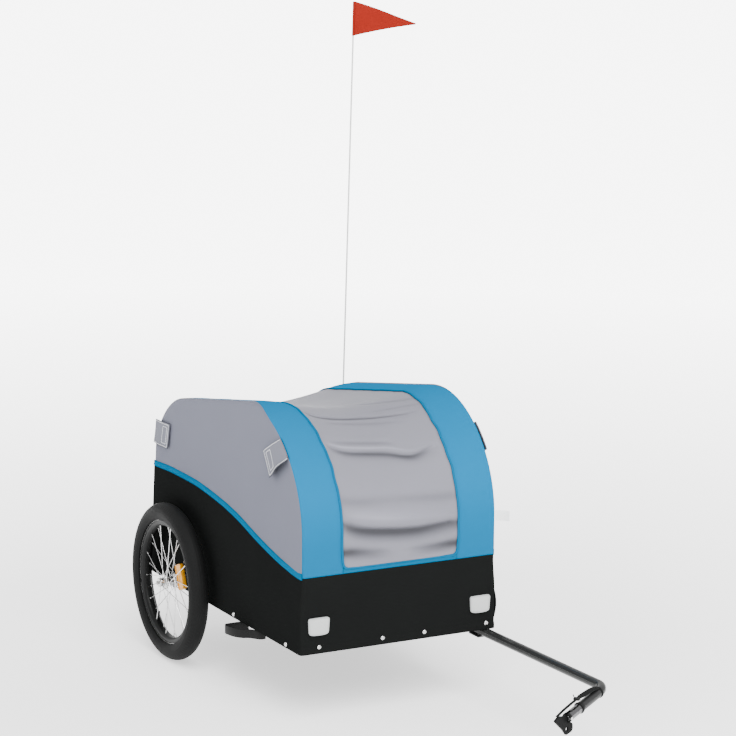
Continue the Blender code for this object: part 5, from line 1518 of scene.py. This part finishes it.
@dataclass
class TowArm:
    """The bent bar, its collar, the hitch and the safety strap."""

    pivot: tuple[float, float, float] = (0.2425, 0.045, 0.161)
    bend: tuple[float, float, float] = (0.2585, -0.487, 0.161)
    leg: tuple[float, float, float] = (-0.128, -0.064, -0.0255)
    bend_radius: float = 0.040
    radius: float = 0.0115
    pin_at: float = 0.164
    slot_half: float = 0.0029

    def __post_init__(self) -> None:
        """Work out the leg's direction, the level one across it and the one that rises from it."""
        self.way = unit(np.array(self.leg))
        self.side = unit(np.cross(self.way, (0.0, 0.0, 1.0)))
        self.up = np.cross(self.side, self.way)

    def at(self, distance: float | Array) -> Array:
        """A point of the leg, this far from the bend's corner."""
        return np.array(self.bend) + np.asarray(distance)[..., None] * self.way

    def build(self) -> None:
        """Make the arm's pieces."""
        self.bar()
        self.collar()
        self.hitch()
        self.plate()
        self.strap()

    def bar(self) -> None:
        """The tube: straight, round the bend on an arc, then along the leg."""
        corner, start = np.array(self.bend), np.array(self.pivot)
        first, second = unit(corner - start), self.way
        turn = math.acos(float(np.clip(first @ second, -1, 1)))
        reach = self.bend_radius * math.tan(turn / 2)
        centre = corner + unit(second - first) * (self.bend_radius / math.cos(turn / 2))
        begin = corner - first * reach - centre
        square = unit(np.cross(np.cross(begin, first), begin))
        angle = np.linspace(0.0, turn, 28)[:, None]
        arc = centre + begin * np.cos(angle) + square * np.linalg.norm(begin) * np.sin(angle)
        straight = np.linspace(start - first * 0.012, corner - first * reach, 40)
        leg = self.at(np.linspace(reach, 0.105, 24)[1:])
        path = np.concatenate([straight[:-1], arc, leg])
        shell = Shell().sweep(path, ring(self.radius, 32), (0, 0, 1))
        shell.build("tow_bar", Finish.GLOSS_BLACK, body="tow_arm")

    def collar(self) -> None:
        """The black end cap of the bar, with its raised lip and the hole for the hitch's stub."""
        profile = mm(
            (105.2, 0), (105.2, 11.6), (106, 11.9), (109.6, 12), (110.2, 13.1), (111, 13.6),
            (113.6, 13.6), (114.6, 13.1), (115.2, 11.8), (115.3, 4.6), (106.6, 4.6), (106.6, 0),
        )
        shell = Shell().turn(profile, self.bend, self.leg, 48)
        shell.build("tow_bar_collar", Finish.PLASTIC, body="tow_arm")

    def hitch(self) -> None:
        """The steel barrel on its stub, split in two cheeks for the plate, the dark ring at its
        end and the cross pin."""
        stub = mm(
            (107.5, 0), (107.5, 4.4), (116, 4.4), (116, 10), (116.7, 11.2), (118.2, 11.5), (120.5, 11.2),
            (122, 10.6), (124, 10.8), (133, 11.2), (135, 10.7), (138, 11.2), (148.2, 11.2), (148.8, 10.6),
            (148.8, 0),
        )
        barrel, black = Shell().turn(stub, self.bend, self.leg, 48), Shell()
        cheeks = ((barrel, 11.2, 148, 161), (black, 11.9, 160.6, 166.8), (barrel, 7.6, 166, 167.6))
        for sign in (-1, 1):
            for shell, radius, start, end in cheeks:
                disc = self.half_disc(radius * MM, sign)
                shell.slab(disc, self.bend, self.side, self.up, -end * MM, -start * MM)
        barrel.build("hitch_barrel", Finish.DARK_STEEL, body="hitch_swivel")
        black.build("hitch_end_ring", Finish.PLASTIC, body="hitch_swivel", replaces=["hitch_barrel"])
        pin = mm(
            (-13.2, 0), (-13.1, 2.6), (-12.6, 3.6), (-11.6, 3.8), (-11, 2.9), (11, 2.9), (11.4, 2.4),
            (11.4, 0),
        )
        shell = Shell().turn(pin, self.at(self.pin_at), self.side, 28)
        shell.build("hitch_pin", Finish.BRIGHT, body="hitch_swivel")

    def half_disc(self, radius: float, sign: int) -> Array:
        """One side of a disc that is split by the plate's slot, turning left."""
        reach = math.acos(self.slot_half / radius)
        angle = np.linspace(-reach, reach, 22) + (0.0 if sign > 0 else math.pi)
        return radius * np.stack([np.cos(angle), np.sin(angle)], axis=-1)

    def plate(self) -> None:
        """The flat black plate that takes the bicycle's axle, its round hole bored through.

        The face between the outline and the hole is a ring of straight lines from one to the
        other, and the hole's wall joins the two faces.
        """
        half, ease, hole_ease, hole_radius = 0.0025, 0.0007, 0.0006, 0.0050
        hole = np.array((0.008, -0.024))
        corners = mm(
            (-7, 4), (-7, -4), (-8.5, -14), (-17.5, -21), (-16.5, -33.5), (-10, -38.5), (13, -37),
            (27, -16), (55, 16), (37, 20), (10, 8.5), (-4, 7), (-7, 4),
        )
        outline = rounded(corners, 97, 2)[:-1]
        angle = np.arctan2(*(outline - hole)[:, ::-1].T)
        first = int(np.argmin(np.abs(angle)))
        outline, angle = np.roll(outline, -first, axis=0), np.roll(angle, -first)
        spokes = np.stack([np.cos(angle), np.sin(angle)], axis=-1)
        circle, wide = hole + hole_radius * spokes, hole + (hole_radius + hole_ease) * spokes
        inset = outline + unit(hole - outline) * ease
        lines = [circle, wide, inset, outline, outline, inset, wide, circle, circle]
        near = [half - hole_ease, half, half, half - ease]
        level = np.array([*near, *(-value for value in near[::-1]), near[0]])[:, None, None]
        flat = np.stack(lines)
        points = self.at(self.pin_at) + level * self.side
        points = points + flat[..., :1] * self.way + flat[..., 1:] * self.up
        shell = Shell().grid(looped(points), looped(flat))
        shell.build("hitch_plate", Finish.PLATE_BLACK, body="hitch_tongue", smooth=30)

    def strap(self) -> None:
        """The flat safety strap: a loop round the bar near the bend, the strap above the leg,
        a sewn fold with a small clip half way and a narrow eye at its end."""
        knots = mm(
            (27, 12.4), (40, 16.5), (60, 20), (83, 22.4), (105, 24.4), (120, 25.2), (150, 25.2),
            (180, 24.2), (206, 21.5),
        )
        line = rounded(knots, 150, 14)
        wide_at, half_widths = (0.027, 0.045, 0.100, 0.120, 0.206), (0.0066, 0.0092, 0.0080, 0.0036, 0.0032)
        width = np.interp(line[:, 0], wide_at, half_widths)
        base, half_thick, lap = round_box(1.0, 1.0, 0.4, 2), 0.0012, 0.0006
        wide = base[:, 0] * width[:, None]
        section = np.stack(np.broadcast_arrays(wide, base[:, 1] * half_thick), axis=-1)
        path = np.array(self.bend) + line[:, :1] * self.way + line[:, 1:] * self.up

        def part(start: float, end: float) -> Shell:
            """The strap between two distances along the leg."""
            share = (line[:, 0] >= start - lap) & (line[:, 0] <= end + lap)
            return Shell().sweep(path[share], section[share], self.up)

        swivel, clip_end, eye = 0.126, 0.160, 0.206
        band = mm(
            (26.2, 11.7), (26.2, 12.6), (26.8, 13), (30.4, 13), (31, 12.6), (31, 11.7), (26.2, 11.7),
        )
        shell = part(0.0, swivel).turn(band, self.bend, self.leg, 40)
        shell.build("safety_strap", Finish.STRAP, body="tow_arm")
        spans = (
            ("strap_cord", swivel, clip_end, "tow_arm", "hitch_swivel"),
            ("strap_end", clip_end, eye, "hitch_swivel", "hitch_tongue"),
        )
        for name, start, end, first, second in spans:
            cord = part(start, end).build(name, Finish.STRAP, body="", replaces=())
            near, far = (tuple(self.at(d) - (0.0, AXLE_Y, 0.0)) for d in (start, end))
            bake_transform(cord)
        middle = self.at(0.119) + self.up * 0.0252
        outline = round_box(0.0075, 0.0050, 0.0015, 3)
        clip = Shell().slab(outline, middle, self.side, self.way, -0.0018, 0.0022)
        clip.rod(middle + self.side * 0.006, middle + self.side * 0.009 + self.up * 0.009, 0.0012, 10)
        clip.build("strap_clip", Finish.PLASTIC, body="tow_arm", replaces=())


@dataclass
class Flag:
    """The whip, its socket and its pennant."""

    foot: tuple[float, float, float] = (0.2722, 0.835, 0.215)
    lean: float = 0.025
    top: float = 1.636
    hoist_foot: float = 1.546
    tip: tuple[float, float] = (0.101, -0.145)
    hem: float = 0.0006

    def pole(self, z: float | Array) -> Array:
        """A point of the pole at this height."""
        z = np.asarray(z, float)
        x = self.foot[0] + self.lean * (z - self.foot[2])
        return np.stack([x, np.full(z.shape, self.foot[1]), z], axis=-1)

    def build(self) -> None:
        """Make the pole with its end cap, the socket and the pennant."""
        whip = Shell().rod(self.pole(self.foot[2]), self.pole(self.top - 0.002), 0.0022, 20, 0.0008)
        whip.build("flag_pole", Finish.WHITE, body="flag_staff")
        profile = mm(
            (0, 0), (0, 7.2), (0.8, 8), (64, 8), (65.5, 7.4), (66, 6.2), (66, 2.5), (5.5, 2.5), (5.5, 0),
        )
        way = self.pole(1.0) - self.pole(0.0)
        Shell().turn(profile, self.pole(self.foot[2] - 0.006), way, 32).build("flag_socket", Finish.PLASTIC)
        self.pennant()

    def pennant(self) -> None:
        """A pointed pennant: straight edges from the hoist to the tip, a slow ripple that grows
        outwards, and a sleeve sewn round the pole."""
        out = np.array((*self.tip, 0.0))
        across = unit(np.array((-out[1], out[0], 0.0)))
        t, v = np.meshgrid(np.linspace(0.0, 1.0, 70), np.linspace(-1.0, 1.0, 34), indexing="ij")
        middle, half = (self.top + self.hoist_foot) / 2, (self.top - self.hoist_foot) / 2 - self.hem
        z = middle + v * half * (1 - 0.975 * t) - 0.009 * t**2
        wave = 0.0030 * np.sin(2.2 * math.pi * t + 0.5 * v) * t + 0.0007 * np.sin(9 * t + 4 * v) * t
        points = self.pole(z) + out * t[..., None] + unit(out) * 0.0024 + across * wave[..., None]
        cloth_piece(
            "flag", points, Finish.RED, "hung", "flag_pole", outward=tuple(across), body="flag_staff",
            thickness=0.0006,
        )
        low, high = self.pole(np.array((self.hoist_foot + self.hem, self.top - self.hem)))
        sleeve = mm((0, 2.35), (0, 3.2), (88.2, 3.2), (88.2, 2.35), (0, 2.35))
        shell = Shell().turn(sleeve, low, high - low, 24)
        shell.build("flag_sleeve", Finish.RED, body="flag_staff", replaces=())


# Setting


@dataclass
class Studio:
    """The pale floor, the soft lights and the camera at the photograph's place."""

    sky: float = 1.5
    key: float = 4.7
    key_width: float = 45.0
    key_azimuth: float = -8.0
    key_elevation: float = 52.0
    place: tuple[float, float, float] = (-2.90814, -5.25246, 1.95009)
    azimuth: float = -28.2048
    elevation: float = 10.5524
    roll: float = 0.4209
    lens: float = 128.673

    def build(self) -> None:
        """Set up the floor, the lights and the camera."""
        self.floor()
        self.lights()
        self.camera()

    def floor(self) -> None:
        """A wide pale floor that the eye doesn't see the end of."""
        mesh = bpy.data.meshes.new("studio_floor")
        size = 60.0
        corners = [(-size, -size, 0), (size, -size, 0), (size, size, 0), (-size, size, 0)]
        mesh.from_pydata(corners, [], [(0, 1, 2, 3)])
        floor = bpy.data.objects.new("studio_floor", mesh)
        bpy.context.scene.collection.objects.link(floor)
        w = Weaver("pale_floor")
        w.put("Base Color", (0.82, 0.82, 0.82, 1.0))
        w.put("Roughness", 0.9)
        w.put("Specular IOR Level", 0.0)
        w.put("Emission Color", (1.0, 1.0, 1.0, 1.0))
        away = w.add("ShaderNodeVectorMath", {0: w.object_place()}, operation="LENGTH").outputs["Value"]
        span = {"Value": away, "From Min": 0.9, "From Max": 6.0, "To Min": 0.9, "To Max": 5.0}
        w.put("Emission Strength", w.add("ShaderNodeMapRange", span).outputs[0])
        mesh.materials.append(w.material)

    def lights(self) -> None:
        """An even white sky and one wide soft light from above the front."""
        world = bpy.data.worlds.new("studio_sky")
        world.use_nodes = True
        background = world.node_tree.nodes["Background"]
        background.inputs["Color"].default_value = (1.0, 1.0, 1.0, 1.0)
        background.inputs["Strength"].default_value = self.sky
        bpy.context.scene.world = world
        lamp = bpy.data.lights.new("soft_key", "SUN")
        lamp.energy = self.key
        lamp.angle = math.radians(self.key_width)
        light = bpy.data.objects.new("soft_key", lamp)
        a, e = math.radians(self.key_azimuth), math.radians(self.key_elevation)
        away_from_light = Vector((-math.sin(a) * math.cos(e), math.cos(a) * math.cos(e), -math.sin(e)))
        light.rotation_euler = away_from_light.to_track_quat("-Z", "Y").to_euler()
        bpy.context.scene.collection.objects.link(light)

    def camera(self) -> None:
        """The camera that was fitted to the photograph."""
        a, e, r = (math.radians(v) for v in (self.azimuth, self.elevation, self.roll))
        back = Vector((math.sin(a) * math.cos(e), -math.cos(a) * math.cos(e), math.sin(e)))
        right = (-back).cross(Vector((0, 0, 1))).normalized()
        up = right.cross(-back)
        turned_right = right * math.cos(r) + up * math.sin(r)
        turned_up = up * math.cos(r) - right * math.sin(r)
        lens = bpy.data.cameras.new("photo_camera")
        lens.lens = self.lens
        lens.sensor_width = 36.0
        lens.clip_start, lens.clip_end = 0.1, 200.0
        camera = bpy.data.objects.new("photo_camera", lens)
        matrix = Matrix((turned_right, turned_up, back)).transposed().to_4x4()
        matrix.translation = Vector(self.place) - Vector((0.0, AXLE_Y, 0.0))
        camera.matrix_world = matrix
        bpy.context.scene.collection.objects.link(camera)
        bpy.context.scene.camera = camera


def dress_kept_nodes(nodes: dict[str, bpy.types.Object]) -> None:
    """Give every CAD node that stays a finish of this file."""
    kept = {
        "floor_board": Finish.BOARD,
        "roof_crossbar": Finish.STEEL,
        "tow_bracket": Finish.GLOSS_BLACK,
        "tow_pivot_pin": Finish.STEEL,
    }
    for name, finish in kept.items():
        nodes[name].data.materials.clear()
        nodes[name].data.materials.append(finish.material)
        log.info("%s keeps its solid", name)


def main() -> None:
    """Dress the whole trailer."""
    logging.basicConfig(level=logging.INFO, format="%(name)s %(message)s")
    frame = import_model()
    Studio().build()
    dress_kept_nodes(frame["nodes"])
    Cover().build()
    LowerBody().build()
    for side in Side:
        Wheel(side).build()
    TowArm().build()
    Flag().build()


if __name__ == "__main__":
    main()
